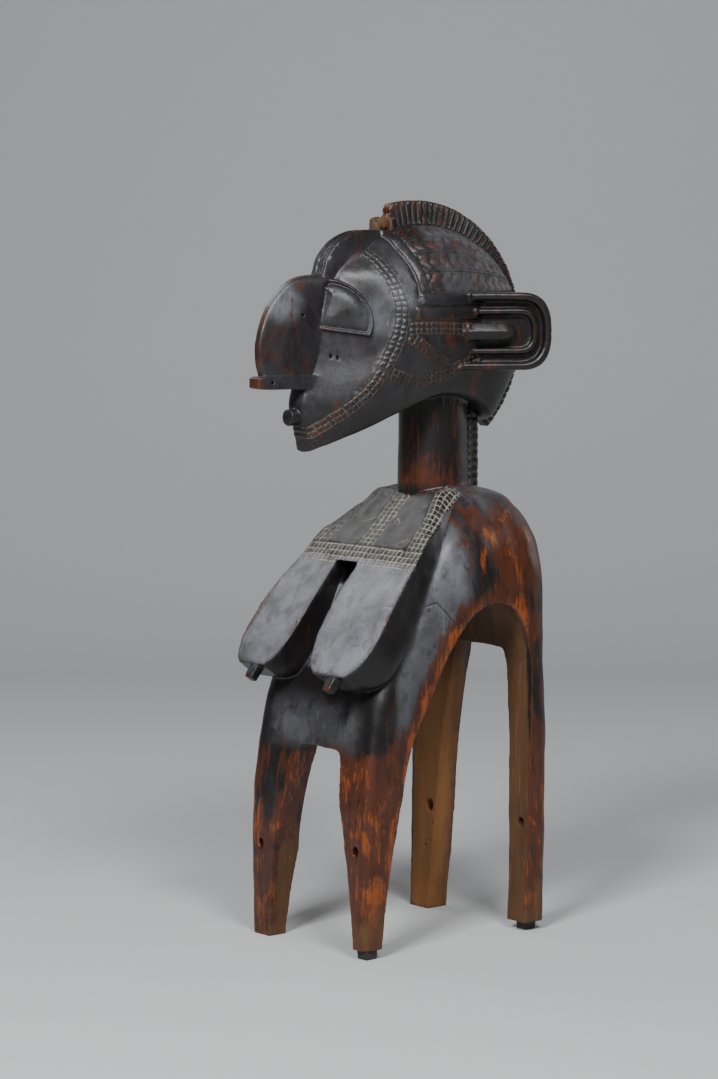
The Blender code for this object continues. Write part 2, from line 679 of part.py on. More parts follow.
def lumps():
    """Every form that is carved proud of the yoke, by name."""
    shapes = {"board": board(), "skull": skull(), "nose": nose(), "flange": flange(),
              "brow_ridge": brow_ridge(), "crest": crest(), "broken_end": broken_end()}
    neck_top = HEAD_Z - 0.06
    middle, half = (neck_top + SHOULDER_TOP - 0.03) / 2, (neck_top - SHOULDER_TOP + 0.03) / 2
    shapes["neck"] = rod(NECK_RADIUS, 24, (0.0, NECK_Y, middle), "Z", half)
    shapes["neck_strip"] = box((-NECK_STRIP_HALF_WIDTH, NECK_Y, SHOULDER_TOP - 0.03),
                               (NECK_STRIP_HALF_WIDTH, NECK_STRIP_REAR, HEAD_Z - 0.09))
    shapes["neck_knob"] = rod(0.008, 8, (0.0, NECK_STRIP_REAR + 0.004, NECK_KNOB_Z), "Y", 0.012)
    shapes["mouth_peg"] = rod(PEG_RADIUS, 12, (0.0, HEAD_Y - 0.226, HEAD_Z - 0.130), "Y", 0.022)
    gap_near, gap_far = BREAST_GAP_X + BREAST_GAP / 2, BREAST_GAP_X - BREAST_GAP / 2
    shapes["left_breast"] = breast(gap_near, 1.0)
    shapes["right_breast"] = breast(gap_far, -1.0)
    shapes["left_nipple"] = nipple(LEFT_NIPPLE_X)
    shapes["right_nipple"] = nipple(RIGHT_NIPPLE_X)
    for side, word in ((1, "left"), (-1, "right")):
        for name, path in bands().items():
            shapes[f"{word}_{name}_band"] = strip(path, side, BAND_WIDTH, band_profile(BAND_RISE))
        for index in range(HAIR_STRIPS):
            shapes[f"{word}_hair_{index + 1}"] = hair_strip(index, side)
        shapes[f"{word}_ribbon"] = ribbon(side)
        shapes[f"{word}_ear_ribbon"] = ear_ribbon(side)
        shapes[f"{word}_eye"] = pad(eye_outline(), side, ((1.0, -0.006), (0.97, 0.006), (0.86, 0.005),
                                                          (0.80, 0.002), (0.45, 0.012)))
        shapes[f"{word}_ear_plate"] = ear_plate(side)
        shapes[f"{word}_ear_rim"] = ear_rail(side, EAR_LENGTH, EAR_HALF_HEIGHT, EAR_RIM, EAR_RISE, 10)
        shapes[f"{word}_ear_inner"] = ear_rail(side, EAR_LENGTH - 0.022, EAR_HALF_HEIGHT - 0.026,
                                               0.010, EAR_RISE * 0.7, 8)
        shapes[f"{word}_ear_boss"] = ear_boss(side)
    return shapes


def cuts():
    """Every hollow that is cut out of the figure, by name."""
    shapes = leg_openings()
    shapes["wearers_space"] = hollow()
    half = BREAST_GAP / 2 - 0.002
    shapes["peephole"] = box((BREAST_GAP_X - half, -0.16, PEEPHOLE_TOP - PEEPHOLE_HEIGHT),
                             (BREAST_GAP_X + half, 0.03, PEEPHOLE_TOP))
    shapes["short_left_legs"] = box((0.03, BODY_FRONT - 0.02, -0.02),
                                    (BODY_HALF_WIDTH + 0.02, BODY_REAR + 0.02, LEFT_LEGS_SHORT))
    outer = BODY_HALF_WIDTH
    front, rear = BODY_FRONT + WALL / 2, BODY_REAR - WALL / 2
    holes = (("right_front_hole", 0.032 - outer, front, 0.152, CORD_HOLE_RADIUS),
             ("left_front_hole", outer - 0.026, front, 0.172, CORD_HOLE_RADIUS),
             ("right_rear_hole", 0.049 - outer, rear, 0.178, WORN_HOLE_RADIUS),
             ("left_rear_hole", outer - 0.022, rear, 0.180, CORD_HOLE_RADIUS))
    for name, x, y, z, radius in holes:
        shapes[name] = rod(radius, 8, (x, y, z), "Y", 2 * WALL, 1.25)
    return shapes


def foot_block(leg_inside, arch_edge, leg_face):
    """A small block under a short leg, a little wider at its top."""
    x = (leg_inside + body_sizes(0.0)[0]) / 2
    y = (arch_edge + leg_face) / 2
    rings = []
    for z, half in ((0.0, BLOCK_SIZE / 2 - BLOCK_TAPER), (LEFT_LEGS_SHORT - CLEARANCE, BLOCK_SIZE / 2)):
        rings.append([(x - half, y - half, z), (x + half, y - half, z), (x + half, y + half, z),
                      (x - half, y + half, z)])
    return loft(rings)


def main():
    for item in list(bpy.data.objects):
        bpy.data.objects.remove(item)
    parts = new_collection("shoulder_figure")
    lump_guides = new_collection("carved_lumps")
    cut_guides = new_collection("carved_hollows")
    dark = wood("patinated_wood", (0.045, 0.028, 0.022), 0.38)
    black = wood("dark_block", (0.02, 0.018, 0.017), 0.6)

    origin = bpy.data.objects.new("figure_origin", None)
    parts.objects.link(origin)
    origin.location = (0.0, FEET_TO_ORIGIN, 0.0)

    figure = add_object("carved_figure", yoke(), parts)
    figure.data.materials.append(dark)
    for name, bm in lumps().items():
        add_guide(name, bm, lump_guides).parent = origin
    for name, bm in cuts().items():
        add_guide(name, bm, cut_guides).parent = origin
    for name, collection, operation in (("add_lumps", lump_guides, "UNION"),
                                        ("cut_hollows", cut_guides, "DIFFERENCE")):
        modifier = figure.modifiers.new(name, "BOOLEAN")
        modifier.operation = operation
        modifier.operand_type = "COLLECTION"
        modifier.collection = collection
        modifier.solver = "MANIFOLD"
    figure.parent = origin

    _, front, rear, _ = body_sizes(0.0)
    blocks = (("front_foot_block", LEFT_FRONT_LEG_INSIDE, SIDE_ARCH_FRONT, front),
              ("rear_foot_block", LEFT_REAR_LEG_INSIDE, SIDE_ARCH_REAR, rear))
    for name, leg_inside, arch_edge, leg_face in blocks:
        block = add_object(name, foot_block(leg_inside, arch_edge, leg_face), parts)
        block.data.materials.append(black)
        block.parent = origin


main()
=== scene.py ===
"""Looks of a carved wooden shoulder figure: the finely carved wood, its worn patina, two foot
blocks, and a plain studio. Metres, +Z up, the face looks along -Y."""
import json
import math

import bmesh
import bpy
import numpy as np
from bpy.props import FloatProperty, FloatVectorProperty, IntProperty, PointerProperty
from mathutils import Matrix, Vector

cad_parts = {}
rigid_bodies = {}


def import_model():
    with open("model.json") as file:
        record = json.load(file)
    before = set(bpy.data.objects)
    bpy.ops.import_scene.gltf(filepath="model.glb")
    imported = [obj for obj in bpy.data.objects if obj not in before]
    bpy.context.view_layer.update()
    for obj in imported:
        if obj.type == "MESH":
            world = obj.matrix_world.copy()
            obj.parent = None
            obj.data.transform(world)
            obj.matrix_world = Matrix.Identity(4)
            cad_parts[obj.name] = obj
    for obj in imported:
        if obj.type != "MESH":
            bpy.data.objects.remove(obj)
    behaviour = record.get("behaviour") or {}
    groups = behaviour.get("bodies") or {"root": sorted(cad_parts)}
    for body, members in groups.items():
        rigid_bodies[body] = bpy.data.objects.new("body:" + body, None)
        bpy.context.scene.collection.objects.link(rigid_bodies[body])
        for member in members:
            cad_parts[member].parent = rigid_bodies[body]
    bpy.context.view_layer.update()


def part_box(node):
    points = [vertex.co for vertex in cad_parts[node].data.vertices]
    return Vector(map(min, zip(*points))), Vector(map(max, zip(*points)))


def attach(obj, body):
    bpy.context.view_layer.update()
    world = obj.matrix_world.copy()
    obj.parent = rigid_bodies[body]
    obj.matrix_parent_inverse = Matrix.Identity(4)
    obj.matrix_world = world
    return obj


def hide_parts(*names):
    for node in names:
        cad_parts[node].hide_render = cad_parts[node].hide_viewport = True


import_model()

bl_info = {
    "name": "Carved shoulder figure",
    "version": (1, 0, 0),
    "blender": (4, 5, 0),
    "location": "View3D > Sidebar > Figure",
    "description": "Carves and finishes a wooden shoulder figure around its packed solids",
    "category": "Object",
}

# Shapes are laid out about a point midway between the feet, which lies this far in front of the origin.
FEET_TO_ORIGIN = 0.016
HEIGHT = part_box("carved_figure")[1][2]

# Body.
BODY_HALF_WIDTH = 0.150
BODY_FRONT = -0.191
BODY_REAR = 0.201
SHOULDER_TOP = 0.735
WALL = 0.038
LEFT_LEGS_SHORT = 0.015
CORD_HOLE_RADIUS = 0.0065
WORN_HOLE_RADIUS = 0.0090
FRONT_LINTEL = 0.325
REAR_LINTEL = 0.466
SIDE_ARCH_TOP = 0.549
SIDE_ARCH_FRONT = -0.156
SIDE_ARCH_REAR = 0.153
LEFT_FRONT_LEG_INSIDE = 0.117
LEFT_REAR_LEG_INSIDE = 0.101

# Chest board and breasts.
BOARD_THICKNESS = 0.055
BREAST_DEPTH = 0.084
RIGHT_BREAST_EXTRA = 0.012
BREAST_GAP = 0.054
BREAST_GAP_X = -0.020
PEEPHOLE_TOP = 0.617
PEEPHOLE_HEIGHT = 0.042
NIPPLE_SIZE = 0.021
NIPPLE_REACH = 0.024
LEFT_NIPPLE_X = 0.096
RIGHT_NIPPLE_X = -0.103

# Neck.
NECK_RADIUS = 0.057
NECK_Y = 0.076
NECK_STRIP_HALF_WIDTH = 0.025
NECK_STRIP_REAR = 0.157
NECK_KNOB_Z = 0.769

# Head.
HEAD_Y = 0.020
HEAD_Z = 0.985
HEAD_HALF_WIDTH = 0.110
SKULL_Y = 0.0175
SKULL_Z = -0.0085
SKULL_REACH = 0.210
SKULL_RISE = 0.183
CREST_Y = 0.0141
CREST_REACH = 0.229
CREST_RISE = 0.2154
CREST_ROOT = 0.050
CREST_HALF_WIDTH = 0.012
CREST_START = 104
CREST_END = -47
RIBBON_WIDTH = 0.016
HAIR_AXIS_Z = 0.065
HAIR_STRIPS = 5
HAIR_SWEEP = 87
NOSE_HALF_EDGE = 0.007
NOSE_HALF_ROOT = 0.021
FLANGE_HALF_WIDTH = 0.015
FLANGE_THICKNESS = 0.021
PEG_RADIUS = 0.0135
EAR_LENGTH = 0.136
EAR_HALF_HEIGHT = 0.063
EAR_PLATE = 0.010
EAR_RIM = 0.013
EAR_RISE = 0.016
EAR_SQUARENESS = 0.75

# Depths and heights of the carving.
BAND_RAISE = 0.0012
BAND_CUT = 0.0013
RIBBON_RAISE = 0.0034
TAIL_Z = 0.0555
PANEL_RAISE = 0.0030
NOTCH_DEPTH = 0.0037
STRIP_CUT = 0.0024
FLUTE_CUT = 0.0022
LADDER_PITCH = 0.0128
BOARD_CUT = 0.0006
RULED_CELL = 0.0100
RULED_DUST = 0.56
GRID_RAILS = 0.0105
EDGE_RAILS = 0.0101
MIDDLE_RAILS = 0.0124
BOARD_RUNGS = 0.0098
FIGURE_REACH = 0.0065
STAR_REACH = 0.0085
SCOOP_DEPTH = 0.0021
INNER_SCOOP_DEPTH = 0.0016
SOFTENING_ROUNDS = 3

# Foot blocks.
FOOT_GRAIN = 0.0008
FOOT_SOFTENING_ROUNDS = 10
FOOT_TAPER = 0.10


class FigureSizes(bpy.types.PropertyGroup):
    """Sizes of the carving that a maker would change."""
    head_grain: FloatProperty(
        name="Head mesh size", description="Edge length of the head while it is carved",
        default=0.0012, min=0.0008, unit="LENGTH")
    body_grain: FloatProperty(
        name="Body mesh size", description="Edge length of the body while it is carved",
        default=0.0017, min=0.001, unit="LENGTH")
    head_triangles: IntProperty(
        name="Head triangles", description="Triangles left on the head", default=104000)
    body_triangles: IntProperty(
        name="Body triangles", description="Triangles left on the body", default=92000)
    band_width: FloatProperty(
        name="Band width", description="Width of the ladder bands on the cheeks",
        default=0.0175, unit="LENGTH")
    band_pitch: FloatProperty(
        name="Band pitch", description="Length of one square of a ladder band",
        default=0.0093, unit="LENGTH")
    chevron_pitch: FloatProperty(
        name="Chevron pitch", description="Distance between the hair's chevrons",
        default=0.0205, unit="LENGTH")
    flute_pitch: FloatProperty(
        name="Flute pitch", description="Distance between the crest's flutes",
        default=0.0124, unit="LENGTH")
    adze_mark: FloatProperty(
        name="Adze mark", description="Size of one tool mark on the body", default=0.024, unit="LENGTH")


class FigureColours(bpy.types.PropertyGroup):
    """Colours of the wood, its patina, its wear, and the cool grey of its painted highlights."""
    patina: FloatVectorProperty(
        name="Patina", description="Dark patina", subtype="COLOR", default=(0.0070, 0.0056, 0.0058))
    # Painted highlight: a cool grey laid on the patina where light catches the wood.
    bloom: FloatVectorProperty(
        name="Bloom", description="Cool grey bloom on rubbed places", subtype="COLOR",
        default=(0.205, 0.205, 0.225))
    red_wood: FloatVectorProperty(
        name="Red wood", description="Patina rubbed thin over red wood", subtype="COLOR",
        default=(0.056, 0.0145, 0.0058))
    orange_wood: FloatVectorProperty(
        name="Orange wood", description="Wood worn bare of its patina", subtype="COLOR",
        default=(0.34, 0.080, 0.009))
    raw_wood: FloatVectorProperty(
        name="Raw wood", description="Unstained wood inside the legs", subtype="COLOR",
        default=(0.105, 0.046, 0.0150))
    dust: FloatVectorProperty(
        name="Dust", description="Pale dust caught in the cuts", subtype="COLOR", default=(0.42, 0.38, 0.31))
    block: FloatVectorProperty(
        name="Foot block", description="Wood of the two foot blocks", subtype="COLOR",
        default=(0.012, 0.011, 0.011))
    floor: FloatVectorProperty(
        name="Floor", description="Pale studio floor", subtype="COLOR", default=(0.50, 0.50, 0.50))


# Curves and tables
def refine(points, steps, closed=False):
    """A Catmull-Rom curve through points, or through rings of points, with `steps` spans each."""
    points = np.asarray(points, dtype=float)
    if closed:
        padded = np.concatenate([points[-1:], points, points[:2]])
    else:
        padded = np.concatenate([2 * points[:1] - points[1:2], points, 2 * points[-1:] - points[-2:-1]])
    a, b, c, d = padded[:-3], padded[1:-2], padded[2:-1], padded[3:]
    rows = []
    for k in range(steps):
        t = k / steps
        rows.append(0.5 * (2 * b + (c - a) * t + (2 * a - 5 * b + 4 * c - d) * t * t
                           + (3 * b - a - 3 * c + d) * t ** 3))
    path = np.stack(rows, axis=1).reshape(-1, *points.shape[1:])
    return path if closed else np.concatenate([path, points[-1:]])


def table(x, places, values):
    """A smooth curve read at x through (place, value) pairs."""
    places, values = np.array(places, dtype=float), np.array(values, dtype=float)
    slopes = np.gradient(values, places)
    x = np.clip(np.asarray(x, dtype=float), places[0], places[-1])
    i = np.clip(np.searchsorted(places, x) - 1, 0, len(places) - 2)
    span = places[i + 1] - places[i]
    t = (x - places[i]) / span
    return ((2 * t ** 3 - 3 * t ** 2 + 1) * values[i] + (t ** 3 - 2 * t ** 2 + t) * span * slopes[i]
            + (3 * t ** 2 - 2 * t ** 3) * values[i + 1] + (t ** 3 - t ** 2) * span * slopes[i + 1])


def step_up(x, low, high):
    """0 below `low`, 1 above `high`, smooth between them; the other way round if low > high."""
    t = np.clip((x - low) / (high - low), 0.0, 1.0)
    return t * t * (3 - 2 * t)


def region(*steps):
    """The product of smooth steps, each given as (values, low, high)."""
    return math.prod(step_up(*step) for step in steps)


def smooth_least(a, b, blend):
    """The lesser of two, rounded off where they are closer than `blend`."""
    h = np.maximum(blend - np.abs(a - b), 0.0) / blend
    return np.minimum(a, b) - h * h * blend / 4


def hashed(cells, salt):
    """An even random value from 0 to 1 for each whole-number cell."""
    n = (cells[..., 0].astype(np.int64) * 73856093) ^ (cells[..., 1].astype(np.int64) * 19349663)
    n = n ^ (cells[..., 2].astype(np.int64) * 83492791) ^ (salt * 2654435761)
    n = (n ^ (n >> 13)) * 1274126177 & 0xFFFFFFFF
    n = (n ^ (n >> 16)) * 2246822519 & 0xFFFFFFFF
    return ((n ^ (n >> 15)) & 0xFFFFFF) / float(0x1000000)


def noise(points, size, salt):
    """Smooth noise from -1 to 1 with lumps of about `size`."""
    scaled = points / size
    low = np.floor(scaled)
    t = scaled - low
    t = t * t * (3 - 2 * t)
    total = np.zeros(len(points))
    for corner in np.ndindex(2, 2, 2):
        corner = np.array(corner)
        weight = np.prod(np.where(corner == 1, t, 1 - t), axis=1)
        total += weight * hashed(low + corner, salt)
    return 2 * total - 1


def tool_marks(points, size, salt):
    """Shallow scoops: squared distance to the nearest of many scattered points, from 0 to about 1."""
    scaled = points / size
    low = np.floor(scaled)
    best = np.full(len(points), 9.0)
    for shift in np.ndindex(3, 3, 3):
        cell = low + np.array(shift) - 1
        centre = np.stack([hashed(cell, salt + k) for k in range(3)], axis=1)
        best = np.minimum(best, ((cell + centre - scaled) ** 2).sum(axis=1))
    return np.minimum(best, 1.2)


# Solid forms
def loft(rings, along=1, around=1):
    """Skin a list of equal rings of points into a closed mesh: (points, faces)."""
    rings = np.array(rings, dtype=float)
    if along > 1:
        rings = refine(rings, along)
    if around > 1:
        rings = np.swapaxes(refine(np.swapaxes(rings, 0, 1), around, closed=True), 0, 1)
    count, size = rings.shape[:2]
    faces = [tuple(range(size))[::-1], tuple((count - 1) * size + i for i in range(size))]
    for row in range(count - 1):
        for i in range(size):
            j = (i + 1) % size
            faces.append((row * size + i, row * size + j, (row + 1) * size + j, (row + 1) * size + i))
    return rings.reshape(-1, 3), faces


def mirrored(ring):
    """Half a ring on the side of +X, completed by its mirror image."""
    return ring + [(-x, y, z) for x, y, z in ring[::-1] if x != 0.0]


def rod(radius, sides, centre, axis, half_length, squash=1.0):
    """A round bar along X or Y, its height squashed or drawn out."""
    rings = []
    for end in (-half_length, half_length):
        ring = []
        for k in range(sides):
            angle = 2 * math.pi * k / sides
            a, b = radius * math.cos(angle), radius * math.sin(angle) * squash
            offset = {"X": (end, a, b), "Y": (a, end, b)}[axis]
            ring.append([c + o for c, o in zip(centre, offset)])
        rings.append(ring)
    return loft(rings)


def block(low, high):
    """A plain rectangular block between two corners."""
    (x0, y0, z0), (x1, y1, z1) = low, high
    return loft([[(x0, y0, z), (x1, y0, z), (x1, y1, z), (x0, y1, z)] for z in (z0, z1)])


# Body
def body_sizes(z):
    """Half-width, front, rear and corner radius of the yoke at a height."""
    heights = (0.00, 0.25, 0.35, 0.41, 0.45, 0.49, 0.55, 0.61, 0.66, 0.70, 0.725, SHOULDER_TOP)
    half_widths = (-0.003, 0.0, 0.001, 0.001, 0.001, 0.002, 0.003, 0.000, -0.011, -0.034, -0.060, -0.084)
    fronts = (0.0, 0.003, 0.017, 0.029, 0.044, 0.067, 0.094, 0.126, 0.157, 0.190, 0.215, 0.240)
    rears = (-0.004, 0.001, 0.002, 0.003, 0.004, 0.006, 0.008, 0.010, 0.004, -0.015, -0.041, -0.074)
    corners = (0.014, 0.018, 0.024, 0.030, 0.036, 0.040, 0.048, 0.055, 0.060, 0.060, 0.050, 0.040)
    return (BODY_HALF_WIDTH + table(z, heights, half_widths), BODY_FRONT + table(z, heights, fronts),
            BODY_REAR + table(z, heights, rears), table(z, heights, corners))


def rounded_rectangle(half_width, front, rear, radius, z, corner_steps=9, side_steps=8):
    """One ring of points at a height: straight sides joined by round corners."""
    radius = min(radius, half_width * 0.98, (rear - front) * 0.49)
    corners = ((half_width - radius, rear - radius, 0), (radius - half_width, rear - radius, 90),
               (radius - half_width, front + radius, 180), (half_width - radius, front + radius, 270))
    arcs = []
    for x, y, start in corners:
        angles = np.radians(start + np.linspace(0, 90, corner_steps + 1))
        arcs.append(np.stack([x + radius * np.cos(angles), y + radius * np.sin(angles),
                              np.full(len(angles), z)], axis=1))
    ring = []
    for arc, following in zip(arcs, arcs[1:] + arcs[:1]):
        ring += list(arc)
        ring += [arc[-1] + (following[0] - arc[-1]) * k / side_steps for k in range(1, side_steps)]
    return ring


def yoke():
    """The shoulders and legs as one closed block, before anything is cut out."""
    heights = np.concatenate([np.linspace(0.0, 0.62, 40), np.linspace(0.63, SHOULDER_TOP, 24)])
    return loft([rounded_rectangle(*[float(s) for s in body_sizes(z)], z) for z in heights])


def hollow():
    """The wearer's space: the yoke's own section less the wall, closing to a low dome."""
    stations = ((-0.02, 0.0, 0.0, 0.045), (0.25, 0.0, 0.0, 0.060), (0.38, 0.004, 0.0, 0.070),
                (0.46, 0.010, 0.004, 0.070), (0.52, 0.018, 0.014, 0.065), (0.57, 0.032, 0.026, 0.060),
                (0.61, 0.052, 0.046, 0.050), (0.63, 0.075, 0.070, 0.035))
    rings = []
    for z, side, ends, radius in stations:
        half_width, front, rear, _ = (float(s) for s in body_sizes(max(z, 0.0)))
        rings.append(rounded_rectangle(half_width - WALL - side, front + WALL + 0.006 + ends,
                                       rear - WALL + 0.002 - ends, radius, z))
    return loft(rings, along=5)


def leg_opening(left, right, top, corner):
    """An opening's (x, z) outline from side points (height, distance), with a rounded top."""
    side_a = refine([(x, z) for z, x in left], 4)
    side_b = refine([(x, z) for z, x in right], 4)
    (xa, _), (xb, _) = side_a[-1], side_b[-1]
    crown = refine([(xa + corner * 0.3, top - corner * 0.35), (xa + corner, top), (0.5 * (xa + xb), top),
                    (xb - corner, top), (xb - corner * 0.3, top - corner * 0.35)], 3)
    floor = -0.03
    return np.concatenate([[(side_a[0][0], floor)], side_a, crown, side_b[::-1], [(side_b[0][0], floor)]])


def side_arch(steps):
    """The (y, z) outline of the arch through the body's sides, without its foot."""
    top = SIDE_ARCH_TOP
    return refine([(SIDE_ARCH_FRONT, 0.005), (-0.143, 0.108), (-0.131, 0.171), (-0.115, 0.249),
                   (-0.096, 0.329), (-0.069, top - 0.167), (-0.014, top - 0.071), (0.037, top - 0.015),
                   (0.088, top), (0.136, top - 0.025), (0.158, top - 0.088), (0.161, 0.385),
                   (0.158, 0.200), (SIDE_ARCH_REAR, 0.020)], steps)


def openings():
    """Cutters for the gaps between the legs."""
    front = leg_opening(
        ((0.02, -0.098), (0.14, -0.086), (0.20, -0.070), (0.25, -0.055), (0.30, -0.040)),
        ((0.02, LEFT_FRONT_LEG_INSIDE), (0.125, 0.106), (0.19, 0.093), (0.25, 0.079), (0.30, 0.074)),
        FRONT_LINTEL, 0.016)
    rear = leg_opening(
        ((0.03, -0.098), (0.155, -0.086), (0.305, -0.073), (0.372, -0.063), (0.44, -0.048)),
        ((0.03, LEFT_REAR_LEG_INSIDE), (0.155, 0.099), (0.305, 0.096), (0.372, 0.093), (0.44, 0.088)),
        REAR_LINTEL, 0.012)
    arch = np.concatenate([[(SIDE_ARCH_FRONT, -0.03)], side_arch(6), [(SIDE_ARCH_REAR, -0.03)]])
    reach = BODY_HALF_WIDTH + 0.05
    return {
        "front_opening": loft([[(x, BODY_FRONT + y, z) for x, z in front] for y in (-0.05, 0.13)]),
        "rear_opening": loft([[(x, BODY_REAR + y, z) for x, z in rear] for y in (-0.15, 0.05)]),
        "side_arches": loft([[(x, y, z) for y, z in arch] for x in (-reach, reach)]),
    }


# Chest board
BOARD_STATIONS = (0.0, 0.12, 0.26, 0.42, 0.50, 0.63, 0.76, 0.89, 1.0)
BOARD_Y = (0.075, 0.028, -0.015, -0.061, -0.081, -0.118, -0.153, -0.185, -0.217)
BOARD_Z = (0.724, 0.709, 0.681, 0.648, 0.626, 0.584, 0.541, 0.496, 0.451)
BOARD_HALF = (0.086, 0.104, 0.124, 0.139, 0.142, 0.149, 0.156, 0.163, 0.166)


def board_frame(t):
    """The board's top point at t, from neck (0) to tips (1), its half-width and its unit normal."""
    y, z, half = (float(table(t, BOARD_STATIONS, v)) for v in (BOARD_Y, BOARD_Z, BOARD_HALF))
    y1, z1 = (float(table(min(t + 0.02, 1.0), BOARD_STATIONS, v)) for v in (BOARD_Y, BOARD_Z))
    y0, z0 = (float(table(max(t - 0.02, 0.0), BOARD_STATIONS, v)) for v in (BOARD_Y, BOARD_Z))
    length = math.hypot(y1 - y0, z1 - z0)
    return y, z, half, (z1 - z0) / length, (y0 - y1) / length


def board():
    """The chest board from the neck to the breasts."""
    rings = []
    for t in np.linspace(0.0, 0.54, 16):
        y, z, half, ny, nz = board_frame(t)
        dy, dz = -BOARD_THICKNESS * ny, -BOARD_THICKNESS * nz
        ring = [(half * s, y, z + 0.002 * (1 - s * s)) for s in np.linspace(-1, 1, 15)]
        rings.append(ring + [(half, y + dy, z + dz), (-half, y + dy, z + dz)])
    return loft(rings)


def breast(inner, outer):
    """One breast: a long lobe with a flat top, upright walls, and a round end and underside."""
    rings = []
    sections = ((0.49, 0.0, 0.80), (0.60, 0.0, 0.90), (0.70, 0.0, 1.0), (0.80, 0.01, 1.0), (0.87, 0.06, 0.98),
                (0.93, 0.16, 0.91), (0.975, 0.32, 0.76), (1.0, 0.52, 0.50))
    section = ((0.0, 0.035), (0.02, 0.0), (0.25, -0.02), (0.5, -0.03), (0.75, -0.02), (0.98, 0.0),
               (1.0, 0.035), (1.0, 0.35), (1.0, 0.70), (0.90, 0.90), (0.5, 1.02), (0.10, 0.90),
               (0.0, 0.70), (0.0, 0.35))
    for t, inset, depth in sections:
        y, z, half, ny, nz = board_frame(t)
        edge = math.copysign(half, outer)
        if outer < 0:
            edge -= RIGHT_BREAST_EXTRA * min((t - 0.49) / 0.2, 1.0)
        shift = inset * (edge - inner) / 2
        a, b = inner + shift, edge - shift
        thick = BREAST_DEPTH * depth
        rings.append([(a + (b - a) * share, y - thick * sink * ny, z - thick * sink * nz)
                      for share, sink in section])
    return loft(rings, along=5, around=3)


def nipple(x):
    """A square stub that hangs from the tip of a breast."""
    y, z, _, ny, nz = board_frame(1.0)
    half = NIPPLE_SIZE / 2
    rings = []
    for reach, size in ((-0.03, 1.0), (NIPPLE_REACH * 0.5, 0.92), (NIPPLE_REACH, 0.8)):
        py, pz = y - nz * reach, z + ny * reach
        rings.append([(x - half * size, py, pz), (x + half * size, py, pz),
                      (x + half * size, py - 0.016 * ny, pz - 0.016 * nz),
                      (x - half * size, py - 0.016 * ny, pz - 0.016 * nz)])
    return loft(rings, along=3)


# Head
def head_outline():
    """The head's side outline about its centre: (y, z, bluntness), round skull first."""
    arc = []
    for angle in np.radians(np.linspace(-20, 127.4, 60)):
        arc.append((SKULL_Y + SKULL_REACH * math.cos(angle), SKULL_Z + SKULL_RISE * math.sin(angle), 2.0))
    face = refine([(-0.145, 0.122, 2.6), (-0.170, 0.100, 3.5), (-0.190, 0.055, 5.0), (-0.198, 0.015, 6.0),
                   (-0.208, -0.035, 7.0), (-0.226, -0.080, 8.0), (-0.235, -0.113, 8.0),
                   (-0.226, -0.144, 8.0), (-0.217, -0.186, 9.0)], 5)
    under = refine([(-0.217, -0.186, 9.0), (-0.195, -0.1765, 10.0), (-0.134, -0.1555, 10.0),
                    (-0.070, -0.131, 10.0), (-0.008, -0.109, 9.0), (0.025, -0.105, 8.0), (0.058, -0.108, 7.0),
                    (0.090, -0.117, 6.0), (0.120, -0.131, 5.0), (0.150, -0.147, 3.5), (0.172, -0.125, 2.8),
                    (0.189, -0.102, 2.4)], 5)
    return np.concatenate([arc, face, under[1:]])


def polar_tables():
    """Direction, reach and bluntness of the head's outline about its centre."""
    outline = head_outline()
    closed = np.concatenate([outline, outline[:1]])
    fine = np.concatenate([closed[:-1] + (closed[1:] - closed[:-1]) * k / 8 for k in range(8)])
    angles = np.arctan2(fine[:, 1], fine[:, 0])
    order = np.argsort(angles)
    return angles[order], np.hypot(fine[:, 0], fine[:, 1])[order], fine[:, 2][order]


POLAR_ANGLES, POLAR_REACHES, POLAR_BLUNTS = polar_tables()
FACE_HEIGHTS = (-0.186, -0.144, -0.113, -0.080, -0.035, 0.015, 0.055, 0.100, 0.140)
FACE_FRONTS = (-0.217, -0.226, -0.235, -0.226, -0.208, -0.198, -0.190, -0.170, -0.120)


def head_share(y, z):
    """How far out a place of the side view lies, from 0 at the head's centre to 1 on its outline."""
    angle = np.arctan2(z, y)
    return np.hypot(y, z) / np.interp(angle, POLAR_ANGLES, POLAR_REACHES, period=2 * math.pi)


def head_half_width(y, z):
    """Half-width of the head at a place of its side view, about the head's centre."""
    blunt = np.interp(np.arctan2(z, y), POLAR_ANGLES, POLAR_BLUNTS, period=2 * math.pi)
    share = np.minimum(head_share(y, z), 1.0)
    dome = HEAD_HALF_WIDTH * 1.02 * np.sqrt(np.maximum(1.0 - share ** blunt, 0.0))
    wedge = np.maximum(0.017 + 0.66 * (y - table(z, FACE_HEIGHTS, FACE_FRONTS)), 0.0)
    taper = HEAD_HALF_WIDTH + 0.42 * np.minimum(z + 0.015, 0.0)
    return smooth_least(smooth_least(dome, wedge, 0.03), taper, 0.02)


def head_slopes(y, z):
    """How fast the head's half-width changes along y and z."""
    step = 0.003
    slope_y = (head_half_width(y + step, z) - head_half_width(y - step, z)) / (2 * step)
    slope_z = (head_half_width(y, z + step) - head_half_width(y, z - step)) / (2 * step)
    return np.clip(slope_y, -2.5, 2.5), np.clip(slope_z, -2.5, 2.5)


def on_head(places, side, lift=0.0):
    """Points on the head's side, raised by `lift` along the surface's normal."""
    places = np.asarray(places, dtype=float)
    y, z = places[:, 0], places[:, 1]
    slope_y, slope_z = head_slopes(y, z)
    length = np.sqrt(1 + slope_y ** 2 + slope_z ** 2)
    x = head_half_width(y, z) + lift / length
    y, z = HEAD_Y + y - lift * slope_y / length, HEAD_Z + z - lift * slope_z / length
    return np.stack([side * x, y, z], axis=1)


